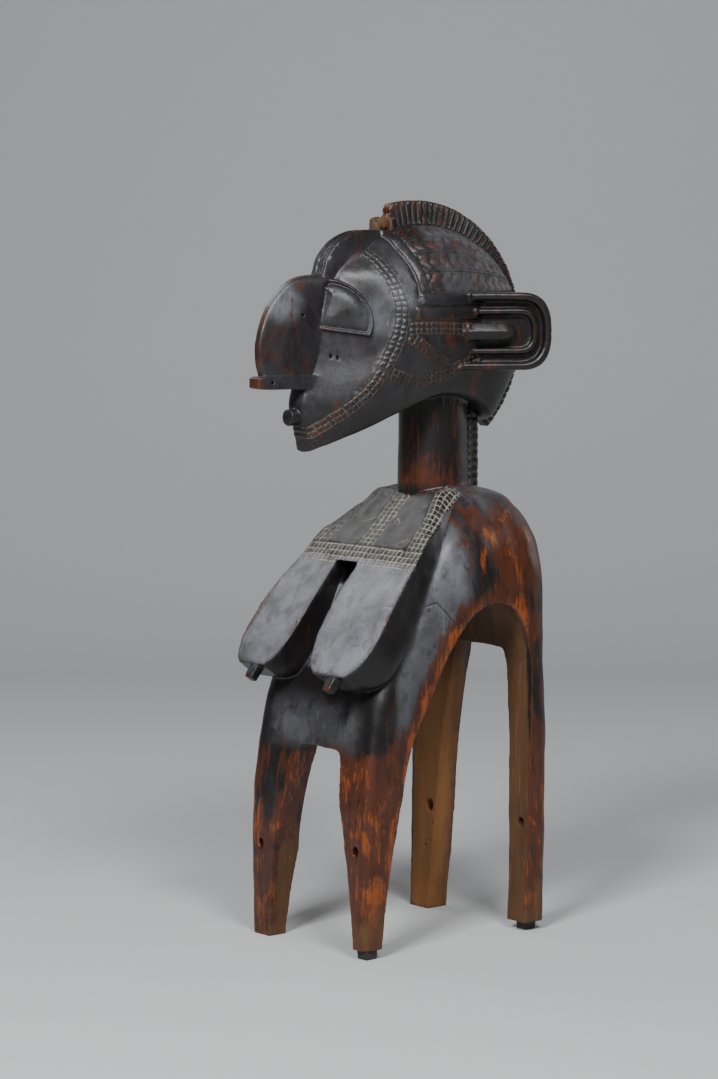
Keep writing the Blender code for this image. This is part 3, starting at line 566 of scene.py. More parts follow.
def skull():
    """The head's core: rings that shrink from the outline to the middle of each cheek."""
    outline = head_outline()[:, :2]
    shares = np.sin(np.linspace(0.02, math.pi / 2, 44))
    rings = []
    for side, order in ((-1, shares), (1, shares[:-1][::-1])):
        for share in order:
            places = outline * share
            width = head_half_width(places[:, 0], places[:, 1]) if share < 1.0 else np.zeros(len(places))
            rings.append(np.stack([side * width, HEAD_Y + places[:, 0], HEAD_Z + places[:, 1]], axis=1))
    return loft(rings)


def ribbon_line(turn):
    """Depth of the hairline ribbon at a turn about the hair's axis."""
    return -0.044 - 0.018 * np.sin(turn) ** 2


def eye(side):
    """A half-disc lid with a raised rim, flat below."""
    arc = refine([(-0.196, 0.084), (-0.175, 0.087), (-0.156, 0.080), (-0.139, 0.064), (-0.128, 0.040),
                  (-0.125, 0.018), (-0.130, -0.004)], 6)
    rim = refine([(-0.130, -0.004), (-0.160, 0.001), (-0.190, 0.006), (-0.206, 0.010)], 4)[1:]
    outline = np.concatenate([arc, rim])
    centre = outline.mean(axis=0)
    layers = ((1.02, -0.006), (1.0, 0.002), (0.975, 0.0055), (0.93, 0.0065), (0.885, 0.0055), (0.86, 0.003),
              (0.84, 0.0018), (0.80, 0.003), (0.70, 0.0068), (0.5, 0.0105), (0.25, 0.0125), (0.03, 0.0130))
    return loft([on_head(centre + (outline - centre) * share, side, lift) for share, lift in layers])


def nose():
    """The nose: a blade whose front edge is a half-disc, thicker where it meets the cheeks."""
    front = refine([(-0.186, 0.096), (-0.228, 0.091), (-0.257, 0.077), (-0.283, 0.051), (-0.299, 0.022),
                    (-0.309, -0.012), (-0.309, -0.040), (-0.302, -0.066)], 6)
    crease = refine([(-0.150, 0.092), (-0.190, 0.082), (-0.196, 0.066), (-0.199, 0.045), (-0.199, 0.016),
                     (-0.202, -0.014), (-0.210, -0.040), (-0.224, -0.072)], 6)
    section = ((0.0, NOSE_HALF_EDGE * 0.45), (0.012, NOSE_HALF_EDGE * 0.95), (0.05, NOSE_HALF_EDGE * 1.25),
               (0.12, NOSE_HALF_EDGE * 1.45), (0.5, NOSE_HALF_ROOT * 0.76), (0.8, NOSE_HALF_ROOT * 0.93),
               (1.0, NOSE_HALF_ROOT), (1.35, NOSE_HALF_ROOT * 0.8))
    rings = []
    for (fy, fz), (cy, cz) in zip(front, crease):
        ring = [(width, HEAD_Y + fy + (cy - fy) * share, HEAD_Z + fz + (cz - fz) * share)
                for share, width in section]
        rings.append(mirrored(ring))
    return loft(rings)


def flange():
    """The nostril plate below the nose, a level bar with a worn round tip."""
    rings = []
    top = -0.064
    for y, half, drop in ((-0.205, 0.026, 0.0), (-0.235, 0.021, 0.0), (-0.285, FLANGE_HALF_WIDTH, 0.0),
                          (-0.305, FLANGE_HALF_WIDTH, 0.001), (-0.315, FLANGE_HALF_WIDTH * 0.8, 0.003)):
        high, low = top - drop, top - FLANGE_THICKNESS + drop
        ring = [(-half, high), (0.0, high), (half, high), (half, low), (0.0, low), (-half, low)]
        rings.append([(x, HEAD_Y + y, HEAD_Z + z) for x, z in ring])
    return loft(rings, along=4)


def brow_ridge():
    """The thick arch over the forehead, grooved along its front edge."""
    outer = refine([(-0.052, 0.163), (-0.082, 0.167), (-0.116, 0.165), (-0.152, 0.150), (-0.178, 0.124),
                    (-0.190, 0.092)], 6)
    inner = refine([(-0.055, 0.120), (-0.080, 0.122), (-0.105, 0.118), (-0.130, 0.104), (-0.148, 0.086),
                    (-0.155, 0.066)], 6)
    section = ((0.035, 0.0), (0.045, 0.0022), (0.11, 0.0040), (0.045, 0.0056), (0.0, 0.0078), (0.035, 0.0095),
               (0.10, 0.0112), (0.04, 0.0128), (0.02, 0.0158), (0.20, 0.0185), (0.62, 0.0215), (1.0, 0.034))
    rings = []
    for (oy, oz), (iy, iz) in zip(outer, inner):
        ring = [(half, HEAD_Y + oy + (iy - oy) * share, HEAD_Z + oz + (iz - oz) * share)
                for share, half in section]
        rings.append(mirrored(ring))
    return loft(rings)


def crest_place(angle, rise):
    """A point of the crest's middle plane: `rise` inward from its outer edge at an angle."""
    y = CREST_Y + (CREST_REACH - rise) * math.cos(angle)
    z = HEIGHT - HEAD_Z - CREST_RISE + (CREST_RISE - rise) * math.sin(angle)
    return HEAD_Y + y, HEAD_Z + z


def crest():
    """The fin from its broken front end, over the head and down to the nape."""
    rings = []
    for angle in np.radians(np.linspace(CREST_START, CREST_END, 150)):
        ring = []
        for rise, half in ((0.0, 0.0), (0.0002, 0.55), (0.0016, 0.86), (0.005, 0.97), (CREST_ROOT, 1.08)):
            y, z = crest_place(angle, rise)
            ring.append((CREST_HALF_WIDTH * half, y, z))
        rings.append(mirrored(ring))
    return loft(rings)


def broken_end():
    """The torn stub in front of the crest's end."""
    y, z = crest_place(math.radians(CREST_START), 0.0)
    rings = []
    for reach, height, half in ((-0.012, 0.025, 0.012), (0.006, 0.025, 0.011), (0.014, 0.026, 0.012),
                                (0.026, 0.028, 0.011), (0.031, 0.033, 0.009)):
        top = z - height
        rings.append([(half, y - reach, top), (-half * 0.8, y - reach, top + 0.002),
                      (-half, y - reach, top - 0.03), (half, y - reach, top - 0.03)])
    return loft(rings, along=3)


def splinter():
    """Torn wood that slopes from the top of the crest's broken end down to the stub."""
    y, z = crest_place(math.radians(CREST_START), 0.0)
    rings = []
    for height, reach, half in ((0.003, 0.0015, 0.008), (0.010, 0.004, 0.010), (0.016, 0.003, 0.009),
                                (0.022, 0.009, 0.010), (0.030, 0.010, 0.011)):
        rings.append([(half, y + 0.006, z - height), (half * 0.9, y - reach, z - height),
                      (-half * 0.2, y - reach * 0.5, z - height), (-half, y - reach * 0.9, z - height),
                      (-half, y + 0.006, z - height)])
    return loft(rings, along=2)


# Ears
def ear_point(side, along, height, lift):
    """A point of an ear's own frame: along its length, up, and out of its face."""
    root_x, root_y, root_z = 0.092, 0.052, 0.003
    dir_x, dir_y = 0.5, 0.866
    return (side * (root_x + along * dir_x + lift * dir_y), HEAD_Y + root_y + along * dir_y - lift * dir_x,
            HEAD_Z + root_z + height)


def u_path(length, half_height, start, steps):
    """A U lying on its side: two level arms joined by a half round."""
    radius = half_height * 0.85
    centre = length - radius
    path = [(start + (centre - start) * k / 4, half_height) for k in range(4)]
    for k in range(steps + 1):
        angle = math.pi / 2 - math.pi * k / steps
        across = abs(math.cos(angle)) ** EAR_SQUARENESS
        up = math.copysign(abs(math.sin(angle)) ** EAR_SQUARENESS, math.sin(angle))
        path.append((centre + radius * across, half_height * up))
    return path + [(start + (centre - start) * (3 - k) / 4, -half_height) for k in range(4)]


def ear_plate(side):
    """The ear's flat plate."""
    outline = u_path(EAR_LENGTH - 0.002, EAR_HALF_HEIGHT - 0.002, -0.02, 28)
    return loft([[ear_point(side, a, b, depth) for a, b in outline] for depth in (-EAR_PLATE, 0.0)])


def ear_rail(side, length, half_height, width, rise, steps):
    """A raised U-shaped rail on the ear's plate."""
    outer = u_path(length, half_height, -0.02, steps)
    inner = u_path(length - width, half_height - width, -0.02, steps)
    rings = []
    for (ao, bo), (ai, bi) in zip(outer, inner):
        ring = []
        for share, lift in ((0.0, -EAR_PLATE * 0.5), (0.0, rise * 0.55), (0.10, rise * 0.88), (0.32, rise),
                            (0.68, rise), (0.90, rise * 0.88), (1.0, rise * 0.55), (1.0, -EAR_PLATE * 0.5)):
            ring.append(ear_point(side, ao + (ai - ao) * share, bo + (bi - bo) * share, lift))
        rings.append(ring)
    return loft(rings)


def ear_boss(side):
    """The faceted peg that lies in the middle of the ear."""
    rings = []
    for along, radius in ((-0.02, 0.0155), (0.058, 0.0155), (0.070, 0.0125), (0.0735, 0.009)):
        rings.append([ear_point(side, along, radius * math.cos(math.radians(60 * k + 30)),
                                0.011 + radius * math.sin(math.radians(60 * k + 30))) for k in range(6)])
    return loft(rings)


def head_forms():
    """Every form of the head, by name."""
    shapes = {"skull": skull(), "nose": nose(), "flange": flange(), "brow_ridge": brow_ridge(),
              "crest": crest(), "broken_end": broken_end(), "splinter": splinter()}
    shapes["mouth_peg"] = rod(PEG_RADIUS, 32, (0.0, HEAD_Y - 0.226, HEAD_Z - 0.130), "Y", 0.022)
    for side, word in ((1, "left"), (-1, "right")):
        shapes[f"{word}_eye"] = eye(side)
        shapes[f"{word}_ear_plate"] = ear_plate(side)
        shapes[f"{word}_ear_rim"] = ear_rail(side, EAR_LENGTH, EAR_HALF_HEIGHT, EAR_RIM, EAR_RISE, 28)
        shapes[f"{word}_ear_inner"] = ear_rail(side, EAR_LENGTH - 0.022, EAR_HALF_HEIGHT - 0.026,
                                               0.010, EAR_RISE * 0.7, 24)
        shapes[f"{word}_ear_boss"] = ear_boss(side)
    return shapes


def head_holes():
    """Small drilled holes through the nose, the nostril plate and each ear."""
    shapes = {"nose_hole": rod(0.0024, 14, (0.0, -0.210, 1.0164), "X", 0.05),
              "flange_hole": rod(0.0026, 14, (0.0, -0.2686, 0.9107), "X", 0.05)}
    for side, word in ((1, "left"), (-1, "right")):
        x, y, z = ear_point(side, EAR_LENGTH - 0.0065, -0.004, 0.0)
        shapes[f"{word}_ear_hole"] = rod(0.0026, 14, (x, y, z), "X", 0.05)
        cheek = on_head([(-0.185, -0.034), (-0.176, -0.036)], side)
        for index, (x, y, z) in enumerate(cheek):
            shapes[f"{word}_cheek_slit_{index + 1}"] = block((x - 0.006, y - 0.0018, z - 0.0040),
                                                             (x + 0.006, y + 0.0018, z + 0.0034))
    return shapes


def body_forms():
    """Every form of the body and neck, by name."""
    neck_top = HEAD_Z - 0.06
    neck = []
    for z in np.linspace(SHOULDER_TOP - 0.03, neck_top, 24):
        radius = NECK_RADIUS * (1.0 + 0.012 * math.cos((z - SHOULDER_TOP) * 26))
        neck.append([(radius * math.cos(a), NECK_Y + radius * math.sin(a), z)
                     for a in np.linspace(0, 2 * math.pi, 64, endpoint=False)])
    gap_near, gap_far = BREAST_GAP_X + BREAST_GAP / 2, BREAST_GAP_X - BREAST_GAP / 2
    return {
        "yoke": yoke(), "board": board(), "neck": loft(neck),
        "neck_strip": block((-NECK_STRIP_HALF_WIDTH, NECK_Y, SHOULDER_TOP - 0.03),
                            (NECK_STRIP_HALF_WIDTH, NECK_STRIP_REAR, HEAD_Z - 0.09)),
        "neck_knob": rod(0.008, 20, (0.0, NECK_STRIP_REAR + 0.004, NECK_KNOB_Z), "Y", 0.012),
        "left_breast": breast(gap_near, 1.0), "right_breast": breast(gap_far, -1.0),
        "left_nipple": nipple(LEFT_NIPPLE_X), "right_nipple": nipple(RIGHT_NIPPLE_X),
    }


def body_hollows():
    """Every hollow that is cut out of the body, by name."""
    shapes = openings()
    shapes["wearers_space"] = hollow()
    half = BREAST_GAP / 2 - 0.002
    shapes["peephole"] = block((BREAST_GAP_X - half, -0.16, PEEPHOLE_TOP - PEEPHOLE_HEIGHT),
                               (BREAST_GAP_X + half, 0.03, PEEPHOLE_TOP))
    shapes["short_left_legs"] = block((0.03, BODY_FRONT - 0.02, -0.02),
                                      (BODY_HALF_WIDTH + 0.02, BODY_REAR + 0.02, LEFT_LEGS_SHORT))
    outer = BODY_HALF_WIDTH
    front, rear = BODY_FRONT + WALL / 2, BODY_REAR - WALL / 2
    holes = (("right_front_hole", 0.032 - outer, front, 0.152, CORD_HOLE_RADIUS),
             ("left_front_hole", outer - 0.026, front, 0.172, CORD_HOLE_RADIUS),
             ("right_rear_hole", 0.049 - outer, rear, 0.178, WORN_HOLE_RADIUS),
             ("left_rear_hole", outer - 0.022, rear, 0.180, CORD_HOLE_RADIUS))
    for name, x, y, z, radius in holes:
        shapes[name] = rod(radius, 22, (x, y, z), "Y", 2 * WALL, 1.25)
    for index, (x, z) in enumerate(((-0.099, 0.118), (-0.109, 0.108), (-0.106, 0.079), (-0.092, 0.150))):
        shapes[f"worm_hole_{index + 1}"] = rod(0.0022, 10, (x, SIDE_ARCH_REAR, z), "Y", 0.014, 1.5)
    return shapes


# Meshes
def new_piece(name, points, faces):
    """An object from plain points and faces, with its faces turned outwards."""
    mesh = bpy.data.meshes.new(name)
    mesh.from_pydata([tuple(p) for p in points], [], faces)
    bm = bmesh.new()
    bm.from_mesh(mesh)
    bmesh.ops.recalc_face_normals(bm, faces=bm.faces)
    if bm.calc_volume(signed=True) < 0:
        bmesh.ops.reverse_faces(bm, faces=bm.faces)
    bm.to_mesh(mesh)
    bm.free()
    piece = bpy.data.objects.new(name, mesh)
    bpy.context.scene.collection.objects.link(piece)
    return piece


def collect(name, shapes):
    """The shapes as objects of a new collection."""
    collection = bpy.data.collections.new(name)
    bpy.context.scene.collection.children.link(collection)
    for shape_name, (points, faces) in shapes.items():
        piece = new_piece(shape_name, points, faces)
        bpy.context.scene.collection.objects.unlink(piece)
        collection.objects.link(piece)
    return collection


def discard(piece):
    """Remove an object and its mesh."""
    mesh = piece.data
    bpy.data.objects.remove(piece)
    bpy.data.meshes.remove(mesh)


def clear(collection):
    """Remove a collection and everything in it."""
    for piece in list(collection.objects):
        discard(piece)
    bpy.data.collections.remove(collection)


def applied(piece):
    """Replace an object's mesh by its evaluated one and drop its modifiers."""
    bpy.context.view_layer.update()
    evaluated = piece.evaluated_get(bpy.context.evaluated_depsgraph_get())
    mesh = bpy.data.meshes.new_from_object(evaluated)
    old = piece.data
    piece.modifiers.clear()
    piece.data = mesh
    bpy.data.meshes.remove(old)
    return piece


def add_modifier(piece, kind, **settings):
    """Give an object a modifier with its settings."""
    modifier = piece.modifiers.new(kind.lower(), kind)
    for name, value in settings.items():
        setattr(modifier, name, value)


def skinned(piece, grain, rounds):
    """Give a piece an even skin of small faces, softened several times."""
    add_modifier(piece, "REMESH", mode="VOXEL", voxel_size=grain)
    add_modifier(piece, "SMOOTH", factor=0.5, iterations=rounds)
    return applied(piece)


def blocked_out(name, forms, hollows, grain):
    """Join the forms, cut the hollows out, and give the wood an even fine skin."""
    first, *others = forms.items()
    piece = new_piece(name, *first[1])
    parts = collect(name + "_forms", dict(others))
    cuts = collect(name + "_hollows", hollows)
    add_modifier(piece, "BOOLEAN", operation="UNION", operand_type="COLLECTION", collection=parts,
                 solver="MANIFOLD")
    add_modifier(piece, "BOOLEAN", operation="DIFFERENCE", operand_type="COLLECTION", collection=cuts,
                 solver="MANIFOLD")
    applied(piece)
    clear(parts)
    clear(cuts)
    return skinned(piece, grain, SOFTENING_ROUNDS)


def read(items, name, kind=np.float32, width=3):
    """One attribute of every item of a mesh, as rows."""
    values = np.empty(len(items) * width, dtype=kind)
    items.foreach_get(name, values)
    return values.reshape(-1, width)


def read_points(mesh):
    return read(mesh.vertices, "co").astype(float)


def read_normals(mesh):
    return read(mesh.vertex_normals, "vector").astype(float)


def read_edges(mesh):
    return read(mesh.edges, "vertices", np.int32, 2)


def write_points(mesh, points):
    mesh.vertices.foreach_set("co", points.astype(np.float32).ravel())
    mesh.update()


def spread(values, edges, passes):
    """Average each value with its neighbours' several times."""
    a, b = edges[:, 0], edges[:, 1]
    count = np.maximum(np.bincount(a, minlength=len(values)) + np.bincount(b, minlength=len(values)), 1)
    for _ in range(passes):
        total = np.bincount(a, values[b], len(values)) + np.bincount(b, values[a], len(values))
        values = 0.4 * values + 0.6 * total / count
    return values


def bend(mesh, edges, passes):
    """How sharply the surface bends, in 1/m: above 0 on ridges, below 0 in cuts."""
    points, normals = read_points(mesh), read_normals(mesh)
    a, b = edges[:, 0], edges[:, 1]
    length = np.linalg.norm(points[a] - points[b], axis=1)
    count = np.maximum(np.bincount(a, minlength=len(points)) + np.bincount(b, minlength=len(points)), 1)
    total = np.stack([np.bincount(a, points[b, k], len(points)) + np.bincount(b, points[a, k], len(points))
                      for k in range(3)], axis=1)
    lean = ((points - total / count[:, None]) * normals).sum(axis=1)
    return spread(lean / np.mean(length) ** 2, edges, passes)


def add_values(mesh, name, values):
    """Store one number for each point, for the shaders."""
    layer = mesh.attributes.new(name, "FLOAT", "POINT")
    layer.data.foreach_set("value", values.astype(np.float32))


# Carving
def along_path(u, v, path):
    """For points (u, v): the signed distance across a path, the length along it, and its length."""
    nearest = np.full(u.shape, 9.0)
    across, along, run = np.zeros(u.shape), np.zeros(u.shape), 0.0
    for a, b in zip(path[:-1], path[1:]):
        d = b - a
        length = math.hypot(*d)
        t = ((u - a[0]) * d[0] + (v - a[1]) * d[1]) / length ** 2
        t = np.clip(t, 0.0, 1.0)
        du, dv = u - a[0] - d[0] * t, v - a[1] - d[1] * t
        distance = np.hypot(du, dv)
        closer = distance < nearest
        nearest = np.where(closer, distance, nearest)
        across = np.where(closer, np.copysign(distance, d[0] * dv - d[1] * du), across)
        along = np.where(closer, run + t * length, along)
        run += length
    return across, along, run


def saw(values):
    """Distance to the nearest whole number, from 0 to 0.5."""
    return np.abs(values - np.round(values))


class Carving:
    """Heights and masks that the carving functions add to, for one mesh's points."""

    def __init__(self, points, normals):
        self.points, self.normals = points, normals
        for name in ("height", "cut", "dust", "red", "worn", "bloom", "bare", "specks", "lined"):
            setattr(self, name, np.zeros(len(points)))
        self.cell_u = np.full(len(points), 0.5)
        self.cell_v = np.full(len(points), 0.5)

    def most(self, name, *values):
        """Raise a mask to at least each of these values."""
        setattr(self, name, np.maximum.reduce([getattr(self, name), *values]))

    def add(self, where, height, cut=None, dust=0.0, red=0.0):
        """Raise the points in a mask; `cut` from 0 to 1 marks the bottom of a cut."""
        self.height[where] += height
        if cut is not None:
            self.cut[where] = np.maximum(self.cut[where], cut)
            self.dust[where] = np.maximum(self.dust[where], cut * dust)
        self.red[where] = np.maximum(self.red[where], red)

    def rule(self, where, u, v, lined):
        """Give the points places in a grid whose drawn lines lie at whole numbers."""
        self.cell_u[where] = u
        self.cell_v[where] = v
        self.lined[where] = lined


def segment_distance(points, path):
    """Distance from each point to a polyline in space."""
    path = np.asarray(path, dtype=float)
    nearest = np.full(len(points), 9.0)
    for a, b in zip(path[:-1], path[1:]):
        d = b - a
        t = np.clip(((points - a) @ d) / (d @ d), 0.0, 1.0)
        nearest = np.minimum(nearest, np.linalg.norm(points - a - t[:, None] * d, axis=1))
    return nearest


def line_offset(x, t, places, total):
    """On the board, the signed offset from a line given as (x, t) places, and the plain distance to it."""
    offset, nearest = np.full(len(x), 9.0), np.full(len(x), 9.0)
    for (start_x, start_t), (end_x, end_t) in zip(places[:-1], places[1:]):
        run, climb = end_x - start_x, (end_t - start_t) * total
        from_x, from_t = x - start_x, (t - start_t) * total
        length = math.hypot(run, climb)
        share = np.clip((from_x * run + from_t * climb) / length ** 2, 0.0, 1.0)
        distance = np.hypot(from_x - share * run, from_t - share * climb)
        closer = distance < nearest
        offset = np.where(closer, (from_x * climb - from_t * run) / length, offset)
        nearest = np.where(closer, distance, nearest)
    return offset, nearest


def ladder(across, along, width, rows, pitch, line):
    """Squares in rows, from 0 in the lines between them to 1 on a square."""
    rows_in = across / width + 0.5
    edge = saw(rows_in * rows)
    rung = saw(along / pitch)
    return step_up(edge, line * 0.35, line * 1.25) * step_up(rung, line * 0.35, line * 1.25)


def cheek_bands():
    """The ladder bands of one cheek, each (path, redness, dust), in the order they are cut."""
    temple = ((-0.110, 0.132), (-0.102, 0.116), (-0.093, 0.089), (-0.086, 0.060), (-0.085, 0.028),
              (-0.092, -0.004), (-0.104, -0.032), (-0.116, -0.054))
    jaw = ((-0.118, -0.060), (-0.137, -0.087), (-0.162, -0.110), (-0.190, -0.133), (-0.214, -0.151),
           (-0.228, -0.157))
    lower = ((-0.104, -0.062), (-0.085, -0.069), (-0.050, -0.075), (-0.015, -0.071), (0.020, -0.056),
             (0.076, -0.037))
    level = ((-0.076, 0.010), (-0.020, 0.010), (0.076, 0.005))
    slant = ((-0.076, -0.003), (-0.038, -0.029), (0.006, -0.053))
    bands = ((temple, 0.18, 0.08), (jaw, 0.42, 0.16), (lower, 0.42, 0.17), (level, 0.46, 0.10),
             (slant, 0.62, 0.09))
    return [(refine(places, 3), red, dust) for places, red, dust in bands]


def head_places(carving):
    """Each point's distance from the head's middle plane, and its place in the side view."""
    x, y, z = carving.points.T
    return np.abs(x), y - HEAD_Y, z - HEAD_Z


def carve_head(carving, sizes):
    """Bands, ribbons, raised panel, hair and flutes."""
    x, y, z = head_places(carving)
    slope_y, slope_z = head_slopes(y, z)
    off = (x - head_half_width(y, z)) / np.sqrt(1 + slope_y ** 2 + slope_z ** 2)
    on_skull = (np.abs(off) < 0.005) & (head_share(y, z) < 1.05)
    index = np.flatnonzero(on_skull & (z < 0.15) & (y < 0.09))
    free = np.ones(len(index), dtype=bool)
    half = sizes.band_width / 2
    for path, red, dust in cheek_bands():
        across, along, total = along_path(y[index], z[index], path)
        inside = free & (np.abs(across) < half * 1.3) & (along > 0) & (along < total)
        across = across + 0.0005 * np.sin(along * 260)
        rungs = (along + 0.0009 * np.sin(along * 410)) / sizes.band_pitch
        rails = 2 * (across / sizes.band_width + 0.5)
        line = np.minimum(saw(rails) * half, saw(rungs) * sizes.band_pitch)
        groove = step_up(line, 0.0017, 0.0003) * (np.abs(across) < half + 0.0016)
        fade = step_up(np.abs(across), half * 1.3, half * 1.08)
        height = fade * BAND_RAISE - BAND_CUT * groove
        carving.add(index[inside], height[inside], groove[inside], dust, red)
        drawn = (np.abs(across) < half + 0.0009).astype(float)
        carving.rule(index[inside], rails[inside], rungs[inside], drawn[inside])
        free &= ~(inside & (np.abs(across) < half * 1.12))
    carve_ribbons(carving, on_skull, x, y, z)
    carve_hair(carving, sizes, x, y, z)
    carve_crest(carving, sizes, x, y, z)


def carve_ribbons(carving, on_skull, x, y, z):
    """The plain ribbon round the hair, its level tail to the ear, and the panel below it."""
    turn = np.arctan2(z - HAIR_AXIS_Z, x)
    half = RIBBON_WIDTH / 2
    across = y - ribbon_line(turn)
    where = (turn > 0.0) & (np.abs(across) < half * 1.3) & (x > 0.004)
    height = RIBBON_RAISE * step_up(np.abs(across), half * 1.12, half * 0.82)
    line = step_up(np.abs(across + half * 1.15), 0.0022, 0.0006)
    carving.add(where, (height - 0.0010 * line)[where], line[where], 0.18)
    off_tail = np.abs(z - TAIL_Z)
    where = on_skull & (y > ribbon_line(0.0) - half) & (y < 0.09) & (turn <= 0.0) & (off_tail < 0.014)
    height = RIBBON_RAISE * step_up(off_tail, 0.0105, 0.0078)
    carving.add(where, height[where])
    left = 0.062 + 0.10 * np.abs(z - 0.031)
    inside = np.minimum.reduce([y + left, 0.060 - y, z - 0.0225, 0.0425 - z])
    where = on_skull & (inside > -0.003)
    height = PANEL_RAISE * step_up(inside, -0.0012, 0.0022)
    carving.add(where, height[where], red=0.2)
    rim = on_skull & (np.abs(inside) < 0.0022) & (z < 0.030)
    carving.add(rim, 0.0, red=0.85)


def carve_hair(carving, sizes, x, y, z):
    """Strips of chevrons that run from the ribbon to a pole at the back, with double lines between."""
    turn = np.arctan2(z - HAIR_AXIS_Z, x)
    reach = np.hypot(x, z - HAIR_AXIS_Z)
    start = ribbon_line(turn) + RIBBON_WIDTH * 0.62
    where = (turn > math.radians(0.6)) & (y > start) & (x > CREST_HALF_WIDTH * 1.06) & (y < 0.235)
    turn, reach, depth, start = turn[where], reach[where], y[where], start[where]
    shares = 1 - (1 - np.arange(HAIR_STRIPS + 1) / HAIR_STRIPS) ** 1.28
    edges = np.radians(HAIR_SWEEP) * shares
    strip = np.clip(np.searchsorted(edges, turn) - 1, 0, HAIR_STRIPS - 1)
    place = (turn - edges[strip]) / (edges[strip + 1] - edges[strip])
    rim = np.minimum(np.abs(turn - edges[strip]), np.abs(edges[strip + 1] - turn)) * reach
    lag = 0.0125 * np.abs(2 * place - 1)
    phase = (depth - start - lag) / sizes.chevron_pitch + 0.37 * strip
    fall = phase - np.floor(phase)
    notch = NOTCH_DEPTH * (1 - fall) ** 2.0 * step_up(fall, -0.02, 0.05)
    weave = step_up(rim, 0.0034, 0.0046)
    double = step_up(np.abs(rim - 0.0026), 0.0014, 0.0004)
    fine = step_up(reach, 0.010, 0.030)
    height = fine * (0.0020 - notch * weave - STRIP_CUT * double)
    cut = fine * np.maximum(double, weave * step_up(np.minimum(fall, 1 - fall), 0.17, 0.04))
    carving.add(where, height, cut, 0.05 + 0.08 * double, 0.42 * weave)
    carving.rule(where, phase, np.minimum(rim / 0.0052 + 0.5, 1.5), 0.9 * fine)


def carve_crest(carving, sizes, x, y, z):
    """Radial flutes across the crest."""
    rise_y, rise_z = y - CREST_Y, z - (HEIGHT - HEAD_Z - CREST_RISE)
    reach = np.hypot(rise_y / CREST_REACH, rise_z / CREST_RISE)
    angle = np.arctan2(rise_z / CREST_RISE, rise_y / CREST_REACH)
    where = (x < CREST_HALF_WIDTH * 1.2) & (reach > 1 - 0.205) & (head_share(y, z) > 1.015)
    where &= (angle < math.radians(CREST_START - 0.5)) & (angle > math.radians(CREST_END + 0.5))
    phase = angle[where] * 0.5 * (CREST_REACH + CREST_RISE) / sizes.flute_pitch
    rib = np.stack([np.floor(phase), np.zeros(len(phase)), np.zeros(len(phase))], axis=1)
    groove = step_up(saw(phase), 0.125, 0.035)
    carving.add(where, -FLUTE_CUT * groove - 0.0005 * hashed(rib, 41), groove, 0.05, 0.40)
    carving.rule(where, phase, 0.5, 1.0)


def board_path(places):
    """Points in space for (x, t) places on the board's top."""
    return [(x, *board_frame(t)[:2]) for x, t in places]


def carve_board(carving):
    """A grid band, three ladders and small incised figures on the chest board."""
    x, y, z = carving.points.T
    steps = np.linspace(0, 1, 60)
    path = np.stack([table(steps, BOARD_STATIONS, BOARD_Y), table(steps, BOARD_STATIONS, BOARD_Z)], axis=1)
    near = (y < 0.085) & (z > 0.44) & (carving.normals[:, 2] > 0.25) & (carving.normals[:, 1] < 0.35)
    index = np.flatnonzero(near)
    across, along, total = along_path(y[index], z[index], path)
    t = along / total
    inward = table(t, BOARD_STATIONS, BOARD_HALF) - np.abs(x[index])
    crown = np.interp(y[index], (-0.061, 0.028, 0.070), (0.648, 0.7285, SHOULDER_TOP))
    lift = np.clip(crown - z[index], -0.02, 0.02) * step_up(inward, -0.002, 0.030) * step_up(t, 0.42, 0.34)
    carving.points[index, 2] += lift
    top = np.abs(across) < np.where(t < 0.42, 0.024, 0.006)
    index, along = index[top], along[top]
    wobble = 0.0007 * noise(carving.points[index], 0.016, 51)
    t, along, side = along / total, along + wobble, x[index] + wobble
    inward = table(t, BOARD_STATIONS, BOARD_HALF) - np.abs(side)
    middle = side + 0.0025 + 0.030 * (0.41 - t) + 0.0186
    band = (t > 0.409) & (t < 0.501)
    edge_ladder = (t <= 0.409) & (t > 0.03) & (inward < 0.0372) & (inward > 0.001)
    middle_ladder = (t <= 0.409) & (middle > -0.0006) & (middle < 0.0378)
    rungs = (along - 0.413 * total) / BOARD_RUNGS
    rails = np.select([band, edge_ladder, middle_ladder],
                      [side / GRID_RAILS, (inward - 0.0062) / EDGE_RAILS, middle / MIDDLE_RAILS], 0.5)
    rungs = np.where(band | edge_ladder | middle_ladder, np.where(band, (t - 0.413) / 0.0277, rungs), 0.5)
    lined = (band | edge_ladder | middle_ladder).astype(float)
    line = np.minimum(saw(rails), saw(rungs)) * RULED_CELL
    groove = lined * step_up(line, 0.0016, 0.0002)
    carving.add(index, -BOARD_CUT * groove, 0.85 * groove, 0.90)
    carving.dust[index] = np.maximum(carving.dust[index], RULED_DUST * lined)
    carving.red[index] = np.maximum(carving.red[index], 0.62 * step_up(inward, 0.005, 0.001) * (t > 0.52))
    carving.rule(index, rails, rungs, lined)
    for places in incised_figures():
        offset, near = line_offset(side, along / total, places, total)
        drawn = index[near < FIGURE_REACH]
        carving.rule(drawn, offset[near < FIGURE_REACH] / RULED_CELL, 0.5, 1.0)
        carving.dust[drawn] = RULED_DUST
    stroke, near = line_offset(side, along / total, [(0.020, 0.252), (0.036, 0.274)], total)
    other, _ = line_offset(side, along / total, [(0.020, 0.272), (0.036, 0.250)], total)
    star = near < STAR_REACH
    carving.rule(index[star], stroke[star] / RULED_CELL, other[star] / RULED_CELL, 1.0)
    carving.dust[index[star]] = RULED_DUST
    tips = step_up(t, 0.84, 0.98) + 0.35 * step_up(inward, 0.020, 0.004) * step_up(t, 0.5, 0.7)
    carving.specks[index] = np.clip(tips, 0.0, 1.0)


